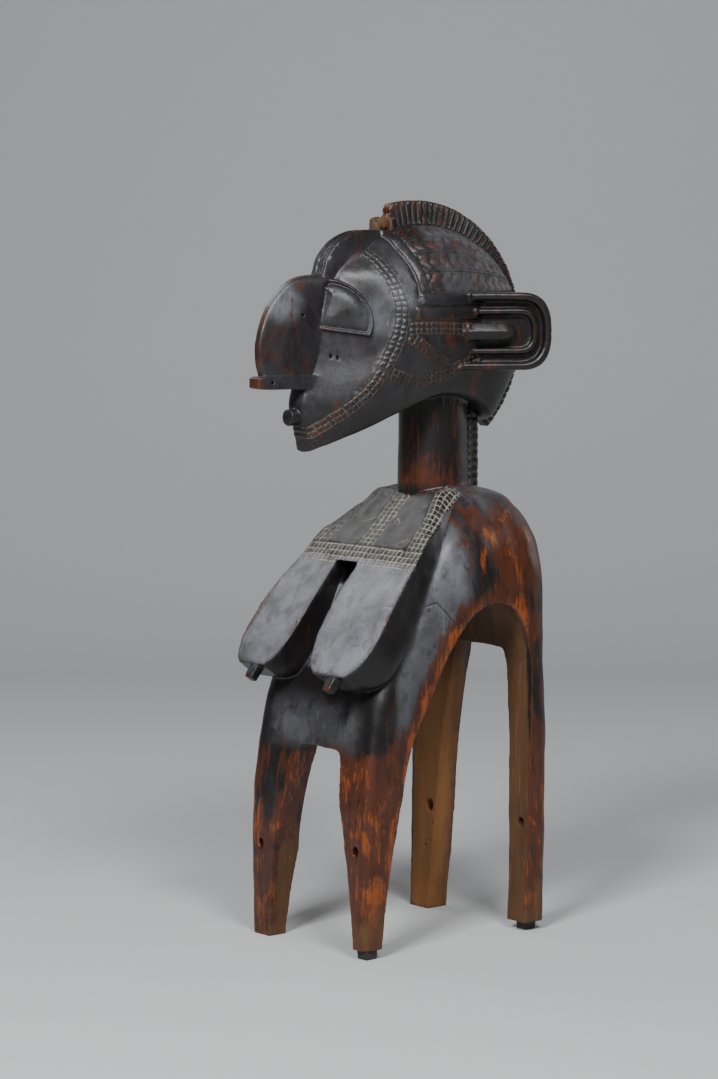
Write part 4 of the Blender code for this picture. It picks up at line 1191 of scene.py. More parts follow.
def incised_figures():
    """The small free figures cut in the board's panels, as (x, t) paths."""
    hooks = (((-0.098, 0.115), (-0.070, 0.122), (-0.040, 0.128), (-0.022, 0.150), (-0.028, 0.195)),
             ((-0.100, 0.215), (-0.086, 0.235), (-0.072, 0.268), (-0.050, 0.285), (-0.030, 0.262)))
    strokes = (((0.072, 0.372), (0.082, 0.352)), ((0.066, 0.175), (0.073, 0.160)))
    return [*(refine(hook, 3) for hook in hooks), *strokes]


def carve_cracks(carving):
    """Drying cracks in the shoulder, a breast and the front, and chips beside them."""
    shoulder = ((0.135, -0.078, 0.553), (0.148, -0.062, 0.556), (0.152, -0.045, 0.560),
                (0.153, -0.033, 0.549), (0.153, -0.024, 0.541), (0.153, -0.010, 0.527))
    front = ((-0.027, -0.172, 0.322), (-0.0265, -0.172, 0.332), (-0.028, -0.171, 0.343))
    breast_line = board_path([(0.098, 0.708), (0.116, 0.712), (0.134, 0.706), (0.152, 0.700)])
    for path, width, depth, flat_x in ((shoulder, 0.0020, 0.0030, 0.3), (front, 0.0020, 0.0030, 1.0),
                                       (breast_line, 0.0014, 0.0010, 1.0)):
        flat = np.array([flat_x, 1.0, 1.0])
        distance = segment_distance(carving.points * flat, np.array(path) * flat)
        where = distance < width * 1.6
        groove = step_up(distance[where], width, width * 0.25)
        carving.add(where, -depth * groove, groove, 0.08)
    for *place, size in ((0.153, -0.014, 0.508, 0.007), (0.149, -0.060, 0.548, 0.006),
                         (0.146, -0.052, 0.571, 0.005)):
        chip = step_up(np.linalg.norm(carving.points - place, axis=1), size, size * 0.2)
        carving.height -= 0.0016 * chip
        carving.most("worn", 0.9 * chip)


def carve_neck(carving):
    """Notches down the neck's rear strip."""
    x, y, z = carving.points.T
    out = np.abs(x) / NECK_STRIP_HALF_WIDTH
    strip = (z > SHOULDER_TOP - 0.01) & (z < HEAD_Z - 0.08) & (out < 1.1) & (y > 0.121)
    side = strip & (out > 0.86)
    squares = ladder(y[side] - 0.141, z[side], 0.031, 2, LADDER_PITCH, 0.20)
    carving.add(side, -0.0024 * (1 - squares), 1 - squares, 0.13, 0.18)
    rear = strip & (y > NECK_STRIP_REAR - 0.006) & (out <= 0.86)
    squares = ladder(x[rear], z[rear], 2 * NECK_STRIP_HALF_WIDTH, 3, LADDER_PITCH, 0.18)
    carving.add(rear, -0.0020 * (1 - squares), 1 - squares, 0.11, 0.15)


def skin_depth(points):
    """How far a point lies inside the yoke's outer skin."""
    half, front, rear, _ = body_sizes(points[:, 2])
    return np.minimum.reduce([half - np.abs(points[:, 0]), points[:, 1] - front, rear - points[:, 1]])


def carve_body(carving, sizes):
    """Tool marks, unevenness and the worn lower legs."""
    points = carving.points
    yoke_zone = step_up(points[:, 2], SHOULDER_TOP + 0.02, SHOULDER_TOP - 0.02)
    stretched = points * np.array([1.0, 1.0, 0.55])
    marks = tool_marks(stretched, sizes.adze_mark, 11)
    inner = step_up(skin_depth(points), 0.005, 0.015) * yoke_zone
    rough = tool_marks(stretched, sizes.adze_mark * 1.3, 23)
    uneven = 0.0012 * noise(points, 0.090, 5) + 0.0004 * noise(points, 0.021, 7)
    lower = step_up(points[:, 2], 0.60, 0.45)
    amount = SCOOP_DEPTH - 0.0004 * lower
    scoops = amount * (marks - 0.4) * (1 - inner) + INNER_SCOOP_DEPTH * (rough - 0.4) * inner
    carving.height += yoke_zone * (scoops + uneven)
    carving.height += (1 - yoke_zone) * 0.0004 * noise(points, 0.030, 9)


def soft_spots(points, spots):
    """Soft round patches, each (x, y, z, radius, strength), joined by their greatest."""
    total = np.zeros(len(points))
    for *place, radius, strength in spots:
        distance = np.linalg.norm(points - place, axis=1)
        total = np.maximum(total, strength * step_up(distance, radius, radius * 0.25))
    return total


# On the head's side view: where a cool grey highlight is painted, and where the red wood shows
CHEEK_HIGHLIGHTS = ((0.100, -0.131, 0.034, 0.062, 0.95), (0.108, -0.096, 0.071, 0.058, 0.95),
               (0.020, -0.268, 0.055, 0.052, 0.72), (0.090, -0.153, 0.102, 0.050, 0.40))
RED_CHEEKS = ((0.085, -0.118, -0.038, 0.030, 0.50), (0.070, -0.150, -0.070, 0.026, 0.44),
              (0.050, -0.185, -0.115, 0.030, 0.46), (0.105, 0.010, -0.010, 0.035, 0.42),
              (0.100, 0.000, -0.095, 0.032, 0.42), (0.060, 0.150, 0.060, 0.050, 0.36))


def wear_and_highlight_head(carving):
    """Where the head's patina is rubbed red or worn through, and where a cool grey highlight is painted on
    it.
    """
    x, y, z = head_places(carving)
    nose_zone = region((x, 0.026, 0.020), (y, -0.195, -0.215), (z, -0.075, -0.055))
    edge = region((x, 0.0095, 0.0065), (y, -0.270, -0.296), (z, 0.055, 0.030)) * nose_zone
    tip = region((y, -0.288, -0.312), (z, -0.060, -0.066))
    stub = region((y, -0.0385, -0.0415), (z, 0.160, 0.168), (x, 0.016, 0.013))
    torn = stub * step_up(z, 0.186, 0.191)
    carving.most("worn", 0.56 * edge, 0.38 * tip, 0.62 * torn)
    carving.most("bare", 0.30 * tip, stub * (1 - torn))
    face = region((y, 0.03, -0.06), (z, 0.17, 0.12), (z, -0.15, -0.08))
    hair = region((y, -0.02, 0.01), (z, 0.060, 0.070), (x, 0.013, 0.019))
    ear = region((x, 0.100, 0.118), (y, 0.05, 0.08))
    carving.most("red", 0.29 * nose_zone, 0.27 * ear)
    side = np.stack([x, y, z], axis=1)
    # Grey tone and painted highlight: a trace everywhere, a little on the face, more on the hair, and painted
    # highlight spots on the cheek, temple and nose.
    carving.most("bloom", 0.10 * face * (1 - carving.red) + 0.02, 0.38 * hair, soft_spots(side, CHEEK_HIGHLIGHTS))
    carving.most("red", soft_spots(side, RED_CHEEKS))
    carving.most("specks", stub * (1 - torn), 0.6 * region((z, -0.095, -0.140), (y, 0.06, 0.0)))
    crease = np.abs(x - NOSE_HALF_ROOT) < 0.004
    carving.most("dust", 0.22 * crease * region((y, -0.225, -0.205), (y, -0.175, -0.190)))


# On the body: shoulders and nipples worn through, and a shoulder rubbed to the raw wood that also gets a
# painted highlight
WORN_SPOTS = ((0.124, 0.080, 0.655, 0.044, 1.0), (0.150, 0.115, 0.625, 0.040, 0.78),
              (-0.124, 0.085, 0.650, 0.036, 0.85), (LEFT_NIPPLE_X, -0.236, 0.435, 0.016, 0.72),
              (RIGHT_NIPPLE_X, -0.236, 0.435, 0.016, 0.55))
RUBBED_HIGHLIT_SPOTS = ((0.126, 0.084, 0.652, 0.034, 1.0),)


def wear_and_highlight_body(carving):
    """Where the body's patina is worn to orange, where the wood is bare, and where a cool grey highlight is
    painted on it.
    """
    x, y, z = carving.points.T
    side = np.abs(x)
    rearward, upward = carving.normals[:, 1], carving.normals[:, 2]
    inside = skin_depth(carving.points)
    in_yoke = step_up(z, SHOULDER_TOP + 0.015, SHOULDER_TOP - 0.005)
    outer = step_up(inside, 0.016, 0.006)

    from_arch = np.abs(along_path(y, z, side_arch(2))[0])
    arch_edge = region((from_arch, 0.052, 0.006), (side, 0.085, 0.115)) * outer
    arch_edge *= 1 - 0.5 * region((y, 0.10, 0.14), (z, 0.52, 0.44))
    shoulder = region((y, -0.015, 0.055), (z, 0.735, 0.690), (z, 0.40, 0.50))
    line = table(y, (-0.20, -0.15, -0.10, 0.20), (0.315, 0.335, 0.36, 0.36))
    legs = step_up(z, line + 0.035, line - 0.03)
    dark_side = region((x, -0.045, -0.085), (x, -0.150, -0.095), (z, 0.17, 0.26), (y, 0.0, -0.10))
    left_front = region((x, 0.06, 0.08), (y, -0.05, -0.10), (z, 0.30, 0.22))
    zone = np.maximum.reduce([0.82 * arch_edge, 0.56 * shoulder, 0.66 * legs * (1 - 0.65 * dark_side),
                              0.74 * left_front])
    behind = region((y, 0.165, 0.195), (z, 0.30, 0.42))
    neck = region((z, SHOULDER_TOP - 0.02, SHOULDER_TOP + 0.01), (y, 0.128, 0.118))
    carving.most("worn", zone * in_yoke * (1 - 0.45 * behind), soft_spots(carving.points, WORN_SPOTS),
                 neck * (0.12 + 0.38 * step_up(z, 0.80, 0.735)))
    carving.most("red", 0.34 * neck, 0.34 * in_yoke * outer * step_up(y, -0.02, 0.05))

    inner = step_up(inside * (z < 0.66), 0.004, 0.020)
    inner *= 1 - 0.85 * region((y, -0.02, -0.08), (z, 0.10, 0.20))
    inner *= 1 - 0.55 * step_up(z, 0.47, 0.58)
    feet = region((z, 0.16, 0.02), (z, -0.01, 0.0))
    rear_legs = region((y, 0.12, 0.15), (z, 0.50, 0.36), (rearward, 0.5, -0.2), (side, 0.149, 0.138))
    carving.most("bare", inner, 0.60 * feet, 0.85 * rear_legs)

    # Painted sheen on the upward-facing tops of the breasts, a little less on the far one, and a trace on the
    # board.
    on_board = (upward > 0.45) & (y < 0.06) & (rearward < 0.1) & (z > 0.43)
    on_breasts = on_board & (z < 0.622) & (z > 0.449)
    carving.most("bloom", np.where(on_breasts, np.where(x > -0.02, 1.0, 0.86), 0.03 * on_board))
    # Painted highlight on the flank facing the light and on the lower front, and painted light on the bare
    # right rear leg.
    crease = y - np.interp(z, (0.436, 0.471, 0.548, 0.666), (-0.132, -0.118, -0.078, -0.016))
    flank = region((side, 0.10, 0.13), (y, 0.05, -0.01), (zone, 0.75, 0.45), (crease, -0.002, 0.010))
    flank *= in_yoke * outer * table(z, (0.40, 0.50, 0.58), (0.40, 0.52, 0.95))
    front = region((side, 0.13, 0.08), (y, -0.10, -0.14), (z, 0.31, 0.34), (z, 0.42, 0.36))
    right_rear = region((x, -0.03, -0.06), (y, 0.10, 0.14), (z, 0.50, 0.35))
    carving.most("bloom", flank, 0.46 * front, right_rear * carving.bare)
    carving.worn *= 1 - 0.8 * carving.bloom * (carving.bloom > 0.82)
    # Painted light on the upward-facing shoulder tops, and a painted highlight on the rubbed shoulder, whose
    # bare wood is real wear.
    top = region((z, 0.665, 0.700), (y, 0.02, 0.06), (upward, 0.1, 0.6)) * in_yoke
    rubbed = soft_spots(carving.points, RUBBED_HIGHLIT_SPOTS)
    carving.most("bare", 0.52 * rubbed)
    carving.most("bloom", 0.30 * top, rubbed)


def settle(piece, carving, edges):
    """Move the points by the carved height and store the masks."""
    mesh = piece.data
    write_points(mesh, carving.points + carving.normals * carving.height[:, None])
    fine, broad = bend(mesh, edges, 2), bend(mesh, edges, 14)
    ridge = np.maximum(0.8 * step_up(fine, 120.0, 500.0), step_up(broad, 12.0, 90.0))
    masks = {"cut": carving.cut, "dust": carving.dust, "ridge": ridge, "recess": step_up(-broad, 12.0, 90.0),
             "specks": carving.specks, "lined": carving.lined}
    for name, passes in (("red", 5), ("worn", 3), ("bloom", 6), ("bare", 2)):
        masks[name] = spread(getattr(carving, name), edges, passes)
    for name, values in masks.items():
        add_values(mesh, name, np.clip(values, 0.0, 1.0))
    add_values(mesh, "cell_u", carving.cell_u)
    add_values(mesh, "cell_v", carving.cell_v)


def thinned(piece, triangles):
    """Reduce a mesh to a number of triangles, keeping them where the surface bends."""
    share = triangles / (2.0 * len(piece.data.polygons))
    add_modifier(piece, "DECIMATE", ratio=share, use_collapse_triangulate=True)
    return applied(piece)


def carved(part, forms, hollows, finish, sizes):
    """Join a part's forms, carve them with `finish`, and thin the mesh."""
    piece = blocked_out(part + "_wood", forms, hollows, getattr(sizes, part + "_grain"))
    carving = Carving(read_points(piece.data), read_normals(piece.data))
    finish(carving, sizes)
    settle(piece, carving, read_edges(piece.data))
    return thinned(piece, getattr(sizes, part + "_triangles"))


def finish_head(carving, sizes):
    """Carve and wear the head."""
    carve_head(carving, sizes)
    carving.height += 0.0005 * noise(carving.points, 0.028, 3) + 0.0002 * noise(carving.points, 0.009, 4)
    wear_and_highlight_head(carving)


def finish_body(carving, sizes):
    """Carve and wear the body."""
    carve_board(carving)
    carve_neck(carving)
    carve_body(carving, sizes)
    carve_cracks(carving)
    wear_and_highlight_body(carving)


def joined_figure(sizes):
    """Head and body carved apart at their own fineness, then joined into one piece of wood."""
    figure = carved("body", body_forms(), body_hollows(), finish_body, sizes)
    head = carved("head", head_forms(), head_holes(), finish_head, sizes)
    add_modifier(figure, "BOOLEAN", operation="UNION", solver="MANIFOLD", object=head)
    applied(figure)
    discard(head)
    figure.name = "carved_wood"
    figure.data.transform(Matrix.Translation((0.0, FEET_TO_ORIGIN, 0.0)))
    points = read_points(figure.data)
    points[:, 2] = np.clip(points[:, 2], 0.0, HEIGHT)
    write_points(figure.data, points)
    figure.data.shade_smooth()
    return figure


# Foot blocks
def foot_block(node):
    """A worn block with soft edges, in the place of its solid."""
    low, high = (np.array(corner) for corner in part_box(node))
    rough = new_piece(node.replace("_block", "_wood"), *block(low, high))
    piece = skinned(rough, FOOT_GRAIN, FOOT_SOFTENING_ROUNDS)
    mesh = piece.data
    points, normals = read_points(mesh), read_normals(mesh)
    middle = (low + high) / 2
    lean = 1 - FOOT_TAPER * (high[2] - points[:, 2:]) / (high[2] - low[2])
    points[:, :2] = middle[:2] + (points[:, :2] - middle[:2]) * lean
    dents = 0.0005 * noise(points, 0.006, 31) + 0.0003 * noise(points, 0.002, 32)
    points += normals * (dents - 0.0004)[:, None]
    write_points(mesh, np.clip(points, low, high))
    edges = read_edges(mesh)
    add_values(mesh, "ridge", step_up(bend(mesh, edges, 4), 60.0, 300.0))
    mesh.shade_smooth()
    return piece


# Node helpers
class Value:
    """A node's output; sums and products made with it add math nodes to its tree."""

    def __init__(self, tree, socket):
        self.tree, self.socket = tree, socket

    def calc(self, operation, a, b):
        return add_node(self.tree, "ShaderNodeMath", 0, {0: a, 1: b}, operation=operation)

    def __add__(self, other):
        return self.calc("ADD", self, other)

    def __sub__(self, other):
        return self.calc("SUBTRACT", self, other)

    def __rsub__(self, other):
        return self.calc("SUBTRACT", other, self)

    def __mul__(self, other):
        return self.calc("MULTIPLY", self, other)

    def __rtruediv__(self, other):
        return self.calc("DIVIDE", other, self)


def greater(a, b):
    """The greater of two outputs."""
    return a.calc("MAXIMUM", a, b)


def clamped(value):
    """The same sum or product, held between 0 and 1."""
    value.socket.node.use_clamp = True
    return value


def connect(sockets, inputs):
    """Feed sockets by name or number, each with a plain value or with another node's output."""
    for name, value in inputs.items():
        if isinstance(value, Value):
            value.tree.links.new(value.socket, sockets[name])
        else:
            sockets[name].default_value = value


def add_node(tree, kind, output, inputs=(), **settings):
    """Add a node with its settings and inputs, and give one of its outputs."""
    node = tree.nodes.new(kind)
    for name, value in settings.items():
        setattr(node, name, value)
    connect(node.inputs, dict(inputs))
    return Value(tree, node.outputs[output])


def rise(value, low, high):
    """A smooth step from 0 at `low` to 1 at `high`."""
    return add_node(value.tree, "ShaderNodeMapRange", "Result",
                    {"Value": value, "From Min": low, "From Max": high}, interpolation_type="SMOOTHSTEP")


def blend(mask, under, over):
    """Colour `over` laid on colour `under` through a mask."""
    under, over = (colour if isinstance(colour, Value) else (*colour, 1.0) for colour in (under, over))
    return add_node(mask.tree, "ShaderNodeMix", 2, {0: mask, 6: under, 7: over}, data_type="RGBA")


def lumps(place, scale, detail=3.0, rough=0.55, warp=0.0):
    """Cloudy noise from 0 to 1."""
    return add_node(place.tree, "ShaderNodeTexNoise", "Fac", {
        "Vector": place, "Scale": scale, "Detail": detail, "Roughness": rough, "Distortion": warp})


def mask(tree, name):
    """A number that the mesh stores for each point."""
    return add_node(tree, "ShaderNodeAttribute", "Fac", attribute_name=name)


def object_place(tree, height=1.0, turn=(0.0, 0.0, 0.0)):
    """The place on the object, with its height scaled, which draws patterns out upright."""
    place = add_node(tree, "ShaderNodeTexCoord", "Object")
    return add_node(tree, "ShaderNodeMapping", 0,
                    {"Vector": place, "Scale": (1.0, 1.0, height), "Rotation": turn})


def by_name(tree, sockets):
    """Sockets as values, by their names."""
    return {socket.name: Value(tree, socket) for socket in sockets}


def new_group(name, inputs, outputs):
    """A shader node group with named float inputs and outputs."""
    tree = bpy.data.node_groups.new(name, "ShaderNodeTree")
    for title, default in inputs.items():
        socket = tree.interface.new_socket(title, in_out="INPUT", socket_type="NodeSocketFloat")
        socket.default_value = default
    for title in outputs:
        tree.interface.new_socket(title, in_out="OUTPUT", socket_type="NodeSocketFloat")
    given = tree.nodes.new("NodeGroupInput").outputs
    return tree, by_name(tree, given), tree.nodes.new("NodeGroupOutput").inputs


def place_group(tree, name, inputs):
    """Use a shared effect, and give its outputs by name."""
    node = tree.nodes.new("ShaderNodeGroup")
    node.node_tree = bpy.data.node_groups[name]
    connect(node.inputs, inputs)
    return by_name(tree, node.outputs)


def new_material(name):
    """A material, its tree and the inputs of its Principled shader."""
    material = bpy.data.materials.new(name)
    material.use_nodes = True
    tree = material.node_tree
    return material, tree, tree.nodes["Principled BSDF"].inputs


# Shared effects; scales are lumps per metre
def grain_group():
    """Upright wood fibres, fine and broad, from 0 to 1."""
    tree, given, result = new_group("wood_grain", {"Fineness": 1.0}, ["Fibre", "Growth"])
    fine = given["Fineness"]
    connect(result, {"Fibre": lumps(object_place(tree, 0.07), fine * 420.0, 4.0),
                     "Growth": lumps(object_place(tree, 0.10), fine * 60.0, 3.0, 0.6, 0.6)})


def wear_group():
    """Worn patches: more where `Zone` is high and on ridges, broken up by upright clouds."""
    tree, given, result = new_group(
        "worn_patches", {"Zone": 0.0, "Ridge": 0.0, "Patch Size": 1.0, "Start": 0.6, "Soft": 0.12}, ["Mask"])
    size = 26.0 / given["Patch Size"]
    cloud = lumps(object_place(tree, 0.42), size, 8.0, 0.70, 0.6)
    streak = lumps(object_place(tree, 0.09), size * 6.0, 4.0, 0.66)
    broken = cloud * 0.92 + streak * 0.50 - 0.21
    pull = given["Zone"] + given["Ridge"] * 0.30
    connect(result, {"Mask": rise(broken + pull * 0.42, given["Start"], given["Start"] + given["Soft"])})


def line_group():
    """Thin cut lines where either grid coordinate passes a whole number."""
    tree, given, result = new_group(
        "cut_lines", {"Across": 0.5, "Along": 0.5, "Lined": 0.0, "Half Width": 0.07}, ["Mask"])
    shaky = (lumps(object_place(tree), 150.0, 2.0) - 0.5) * 0.10
    width = given["Half Width"]
    lines = []
    for title in ("Across", "Along"):
        place = given[title] + shaky
        off = place.calc("PINGPONG", place, 0.5)
        lines.append(1.0 - rise(off, width * 0.55, width * 1.45))
    connect(result, {"Mask": greater(*lines) * rise(given["Lined"], 0.35, 0.65)})


def dust_group():
    """Pale dust that lies broken along the cuts and in hollows."""
    tree, given, result = new_group("cut_dust", {"Cut": 0.0, "Recess": 0.0, "Amount": 0.5}, ["Mask"])
    breaks = rise(lumps(object_place(tree), 95.0, 4.0, 0.7), 0.30, 0.54)
    specks = rise(lumps(object_place(tree), 520.0, 2.0, 0.6), 0.62, 0.74)
    lying = given["Cut"] * breaks + given["Recess"] * specks * 0.5
    connect(result, {"Mask": clamped(lying * given["Amount"])})


def scratch_group():
    """Fine scratches in three directions: a mask, and a height for bumps."""
    tree, given, result = new_group("scratches", {"Density": 0.5}, ["Mask", "Height"])
    level = 0.80 - given["Density"] * 0.14
    layers = []
    for turn, scale in (((0.22, 0.12, 0.3), 230.0), ((-0.30, -0.16, 1.1), 300.0),
                        ((-0.82, 0.05, 0.0), 340.0)):
        drawn = lumps(object_place(tree, 0.016, turn), scale, 2.0, 0.5, 0.1)
        layers.append(rise(drawn, level, level + 0.05))
    total = greater(greater(layers[0], layers[1]), layers[2])
    connect(result, {"Mask": total, "Height": total * -1.0})


def worn_patches(tree, zone, ridge, size, start, soft):
    """Patches of the shared wear effect."""
    return place_group(tree, "worn_patches", {"Zone": zone, "Ridge": ridge, "Patch Size": size,
                                              "Start": start, "Soft": soft})["Mask"]


# Materials
LINE_HALF_WIDTH = 0.048
SPECULAR_LEVEL, ROUGHNESS = 0.34, 0.34
COAT, COAT_ROUGHNESS = 0.16, 0.34
GRIME = (0.0125, 0.0085, 0.0085)
CUT_SHADE = (0.0040, 0.0034, 0.0034)
# Pale scratches: real scratches, shown with a painted glint where the highlight is painted.
SCRATCH_GLINT_GREY = (0.30, 0.29, 0.28)
DARK_BROWN, BROWN = (0.026, 0.0075, 0.0035), (0.115, 0.027, 0.0065)
DEEP_ORANGE = (0.115, 0.024, 0.0040)
RAW_DARK, RAW_FIBRE = (0.030, 0.0125, 0.0050), (0.200, 0.098, 0.040)
RAW_LIT, RAW_STAIN, RAW_SCRATCH = (0.400, 0.170, 0.052), (0.030, 0.014, 0.0065), (0.300, 0.190, 0.110)


def raw_colour(tree, colours, grain, bloom, scratches):
    """Unstained wood: grain, growth rings with painted light on them, stains and scratches."""
    raw = blend(grain["Growth"], RAW_DARK, colours.raw_wood)
    raw = blend(grain["Fibre"] * 0.25, raw, RAW_FIBRE)
    # Painted light: the raw wood's growth rings lightened where the highlight mask is.
    raw = blend(bloom * (grain["Growth"] * 0.50 + 0.22), raw, RAW_LIT)
    stain = rise(lumps(object_place(tree, 0.25), 18.0, 5.0, 0.6, 0.2), 0.50, 0.75)
    raw = blend(stain * 0.60, raw, RAW_STAIN)
    return blend(scratches["Mask"] * 0.30, raw, RAW_SCRATCH)


def patinated_wood(colours):
    """Near-black patina with a painted cool grey highlight, worn red and orange, bare inside, dusty in the
    cuts.
    """
    material, tree, shader = new_material("patinated_wood")
    grain = place_group(tree, "wood_grain", {"Fineness": 1.0})
    recess, ridge, bare = (mask(tree, name) for name in ("recess", "ridge", "bare"))
    bloom, worn = mask(tree, "bloom"), mask(tree, "worn")
    lines = place_group(tree, "cut_lines", {
        "Across": mask(tree, "cell_u"), "Along": mask(tree, "cell_v"), "Lined": mask(tree, "lined"),
        "Half Width": LINE_HALF_WIDTH})["Mask"]
    cut = greater(mask(tree, "cut") * 0.7, lines)
    red = worn_patches(tree, mask(tree, "red"), ridge, 0.7, 0.64, 0.14)
    warm = worn_patches(tree, worn, ridge, 1.5, 0.60, 0.14)
    orange = worn_patches(tree, worn, ridge, 0.9, 0.79, 0.13)
    scratches = place_group(tree, "scratches", {"Density": 0.75})
    cloud = rise(lumps(object_place(tree), 14.0, 6.0, 0.65, 0.4), 0.32, 0.68)
    mottle = rise(lumps(object_place(tree, 0.6), 34.0, 6.0, 0.7, 0.3), 0.50, 0.66)

    # Painted highlight: cool grey laid over the patina, clouded, where the highlight mask is.
    highlight_share = bloom * (cloud * 0.50 + 0.40) * (1.0 - mottle * 0.35)
    colour = blend(highlight_share, colours.patina, colours.bloom)
    # Scratches turn pale only where the highlight is painted: real scratches with a painted glint.
    colour = blend(scratches["Mask"] * (bloom * 0.50), colour, SCRATCH_GLINT_GREY)
    colour = blend(red * 0.75, colour, colours.red_wood)
    colour = blend(warm * 0.85, colour, blend(grain["Growth"], DARK_BROWN, BROWN))
    colour = blend(orange * 0.9, colour, blend(grain["Growth"], DEEP_ORANGE, colours.orange_wood))
    colour = blend(mottle * (0.72 - bare * 0.45) * (1.0 - bloom), colour, GRIME)
    edge = bare + (cloud - 0.5) * 0.5
    colour = blend(rise(edge, 0.28, 0.70), colour, raw_colour(tree, colours, grain, bloom, scratches))
    colour = blend(greater(cut * 0.85, recess * 0.55), colour, CUT_SHADE)
    dust = place_group(tree, "cut_dust", {
        "Cut": clamped(mask(tree, "dust") * 1.4 * cut), "Amount": 0.9,
        "Recess": greater(recess * 0.45, mask(tree, "specks"))})["Mask"]
    colour = blend(dust, colour, colours.dust)

    rough = clamped(cloud * 0.10 + ROUGHNESS + bare * 0.30 + greater(dust, cut) * 0.30)
    dents = lumps(object_place(tree), 130.0, 4.0, 0.65)
    height = grain["Fibre"] * 0.30 + dents * 0.42 + scratches["Height"] * 0.10 - lines * 0.8
    bump = add_node(tree, "ShaderNodeBump", "Normal", {"Height": height, "Strength": 0.6, "Distance": 0.0012})
    connect(shader, {
        "Base Color": colour, "Roughness": rough, "Normal": bump, "Specular IOR Level": SPECULAR_LEVEL,
        "Coat Roughness": COAT_ROUGHNESS, "Coat Weight": (1.0 - greater(bare, dust)) * COAT})
    return material


def block_wood(colours):
    """Matt black wood, rubbed brown on its edges."""
    material, tree, shader = new_material("dark_block")
    grain = place_group(tree, "wood_grain", {"Fineness": 1.4})
    worn = worn_patches(tree, 0.0, mask(tree, "ridge"), 0.4, 0.58, 0.14)
    dust = place_group(tree, "cut_dust", {"Cut": 0.0, "Recess": 0.5, "Amount": 0.5})["Mask"]
    colour = blend(grain["Growth"], colours.block, (0.030, 0.024, 0.020))
    colour = blend(worn * 0.5, colour, (0.10, 0.06, 0.04))
    colour = blend(dust, colour, colours.dust)
    bump = add_node(tree, "ShaderNodeBump", "Normal",
                    {"Height": grain["Fibre"], "Strength": 0.6, "Distance": 0.0006})
    connect(shader, {"Base Color": colour, "Roughness": grain["Fibre"] * 0.2 + 0.55, "Normal": bump})
    return material


class FIGURE_OT_effects(bpy.types.Operator):
    """Build the shader effects that the woods share: grain, wear, dust and scratches"""
    bl_idname = "figure.effects"
    bl_label = "Build the shared effects"

    def execute(self, context):
        for build in (grain_group, wear_group, line_group, dust_group, scratch_group):
            build()
        return {"FINISHED"}


class FIGURE_OT_carve(bpy.types.Operator):
    """Carve the figure: head, neck, chest board, breasts, yoke and legs in one piece of wood"""
    bl_idname = "figure.carve"
    bl_label = "Carve the figure"

    def execute(self, context):
        figure = joined_figure(context.scene.figure_sizes)
        figure.data.materials.clear()
        figure.data.materials.append(patinated_wood(context.scene.figure_colours))
        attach(figure, "root")
        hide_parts("carved_figure")
        return {"FINISHED"}


class FIGURE_OT_foot_blocks(bpy.types.Operator):
    """Make the two dark blocks that level the short left legs"""
    bl_idname = "figure.foot_blocks"
    bl_label = "Make the foot blocks"

    def execute(self, context):
        wood = block_wood(context.scene.figure_colours)
        for node in ("front_foot_block", "rear_foot_block"):
            piece = foot_block(node)
            piece.data.materials.append(wood)
            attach(piece, "root")
            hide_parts(node)
        return {"FINISHED"}


class FIGURE_OT_stage(bpy.types.Operator):
    """Set up the pale floor, the soft lights and the camera"""
    bl_idname = "figure.stage"
    bl_label = "Set the stage"

    def execute(self, context):
        build_floor(context.scene.figure_colours)
        build_lights()
        build_camera()
        return {"FINISHED"}


def build_floor(colours):
    """A floor that curves up into a backdrop, and is clear when seen from behind."""
    start, bend_radius, steps = 3.2, 1.2, 8
    rows = []
    for k in range(steps + 1):
        angle = math.radians(90 * k / steps)
        rows.append((start + bend_radius * math.sin(angle), bend_radius - bend_radius * math.cos(angle)))
    profile = [(-6.0, 0.0), *rows, (start + bend_radius, 6.0)]
    away = Vector((-0.77071, 0.63719, 0.0))
    right = Vector((0.63719, 0.77071, 0.0))
    points = [tuple(away * d + right * s + Vector((0, 0, h))) for d, h in profile for s in (-7.0, 7.0)]
    faces = [(2 * k, 2 * k + 1, 2 * k + 3, 2 * k + 2) for k in range(len(profile) - 1)]
    mesh = bpy.data.meshes.new("studio_floor")
    mesh.from_pydata(points, [], faces)
    mesh.shade_smooth()
    floor = bpy.data.objects.new("studio_floor", mesh)
    bpy.context.scene.collection.objects.link(floor)
    material, tree, shader = new_material("floor_paint")
    behind = add_node(tree, "ShaderNodeNewGeometry", "Backfacing")
    connect(shader, {"Base Color": (*colours.floor, 1.0), "Roughness": 0.75, "Alpha": 1.0 - behind})
    mesh.materials.append(material)


WHITE, DAYLIGHT = (1.0, 1.0, 1.0), (0.96, 0.98, 1.0)


def add_light(name, place, target, size, power, colour):
    """A square soft light that faces a target."""
    data = bpy.data.lights.new(name, "AREA")
    data.shape = "RECTANGLE"
    data.size, data.size_y = size, size
    data.energy = power
    data.color = colour
    lamp = bpy.data.objects.new(name, data)
    bpy.context.scene.collection.objects.link(lamp)
    lamp.location = place
    lamp.rotation_euler = (Vector(target) - Vector(place)).to_track_quat("-Z", "Y").to_euler()


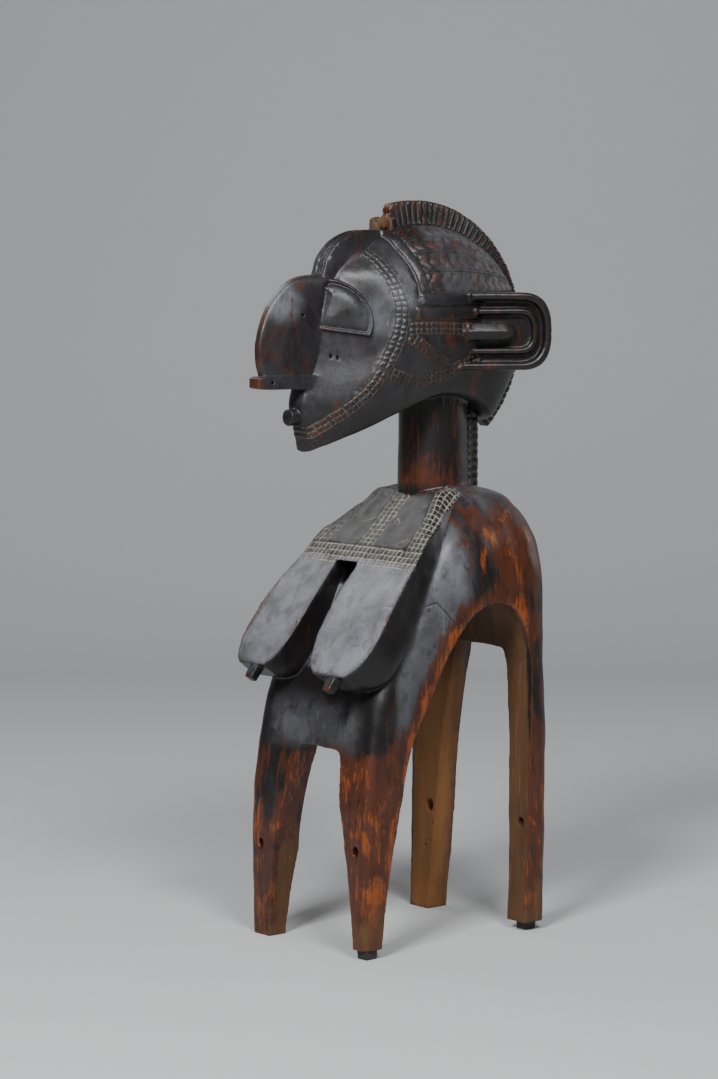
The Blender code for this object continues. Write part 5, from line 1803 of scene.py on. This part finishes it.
def build_lights():
    """A soft high key in front, one beside the camera, two weak broad ones behind, and a dim room."""
    add_light("key_light", (1.5, -3.0, 3.3), (0.0, 0.0, 0.8), 1.0, 205, DAYLIGHT)
    add_light("side_light", (3.1, -1.2, 4.0), (0.0, 0.0, 0.9), 1.1, 155, DAYLIGHT)
    add_light("sheen_light", (-2.7, -0.3, 3.0), (0.0, 0.0, 0.7), 1.8, 25, WHITE)
    add_light("back_light", (1.0, 3.8, 1.7), (0.0, 0.0, 0.6), 2.0, 24, WHITE)
    world = bpy.data.worlds.new("studio_world")
    world.use_nodes = True
    connect(world.node_tree.nodes["Background"].inputs, {"Color": (0.8, 0.83, 0.88, 1.0), "Strength": 0.10})
    bpy.context.scene.world = world


def build_camera():
    """A long lens from the figure's front left, a little above its middle."""
    data = bpy.data.cameras.new("camera")
    data.lens = 104.26
    data.sensor_width = 36.0
    data.sensor_fit = "AUTO"
    camera = bpy.data.objects.new("camera", data)
    bpy.context.scene.collection.objects.link(camera)
    camera.location = (3.8790, -3.2882 + FEET_TO_ORIGIN, 1.1012)
    camera.rotation_euler = (math.radians(90 - 5.092), 0.0, math.radians(50.418))
    bpy.context.scene.camera = camera


class FIGURE_PT_panel(bpy.types.Panel):
    """Lists the steps that build the figure"""
    bl_label = "Shoulder figure"
    bl_idname = "FIGURE_PT_panel"
    bl_space_type = "VIEW_3D"
    bl_region_type = "UI"
    bl_category = "Figure"

    def draw(self, context):
        for operator in OPERATORS:
            self.layout.operator(operator.bl_idname)


OPERATORS = (FIGURE_OT_effects, FIGURE_OT_carve, FIGURE_OT_foot_blocks, FIGURE_OT_stage)
CLASSES = (FigureSizes, FigureColours, *OPERATORS, FIGURE_PT_panel)


def register():
    for item in CLASSES:
        bpy.utils.register_class(item)
    bpy.types.Scene.figure_sizes = PointerProperty(type=FigureSizes)
    bpy.types.Scene.figure_colours = PointerProperty(type=FigureColours)


def unregister():
    del bpy.types.Scene.figure_colours
    del bpy.types.Scene.figure_sizes
    for item in reversed(CLASSES):
        bpy.utils.unregister_class(item)


def main():
    register()
    bpy.ops.figure.effects()
    bpy.ops.figure.carve()
    bpy.ops.figure.foot_blocks()
    bpy.ops.figure.stage()


if __name__ == "__main__":
    main()
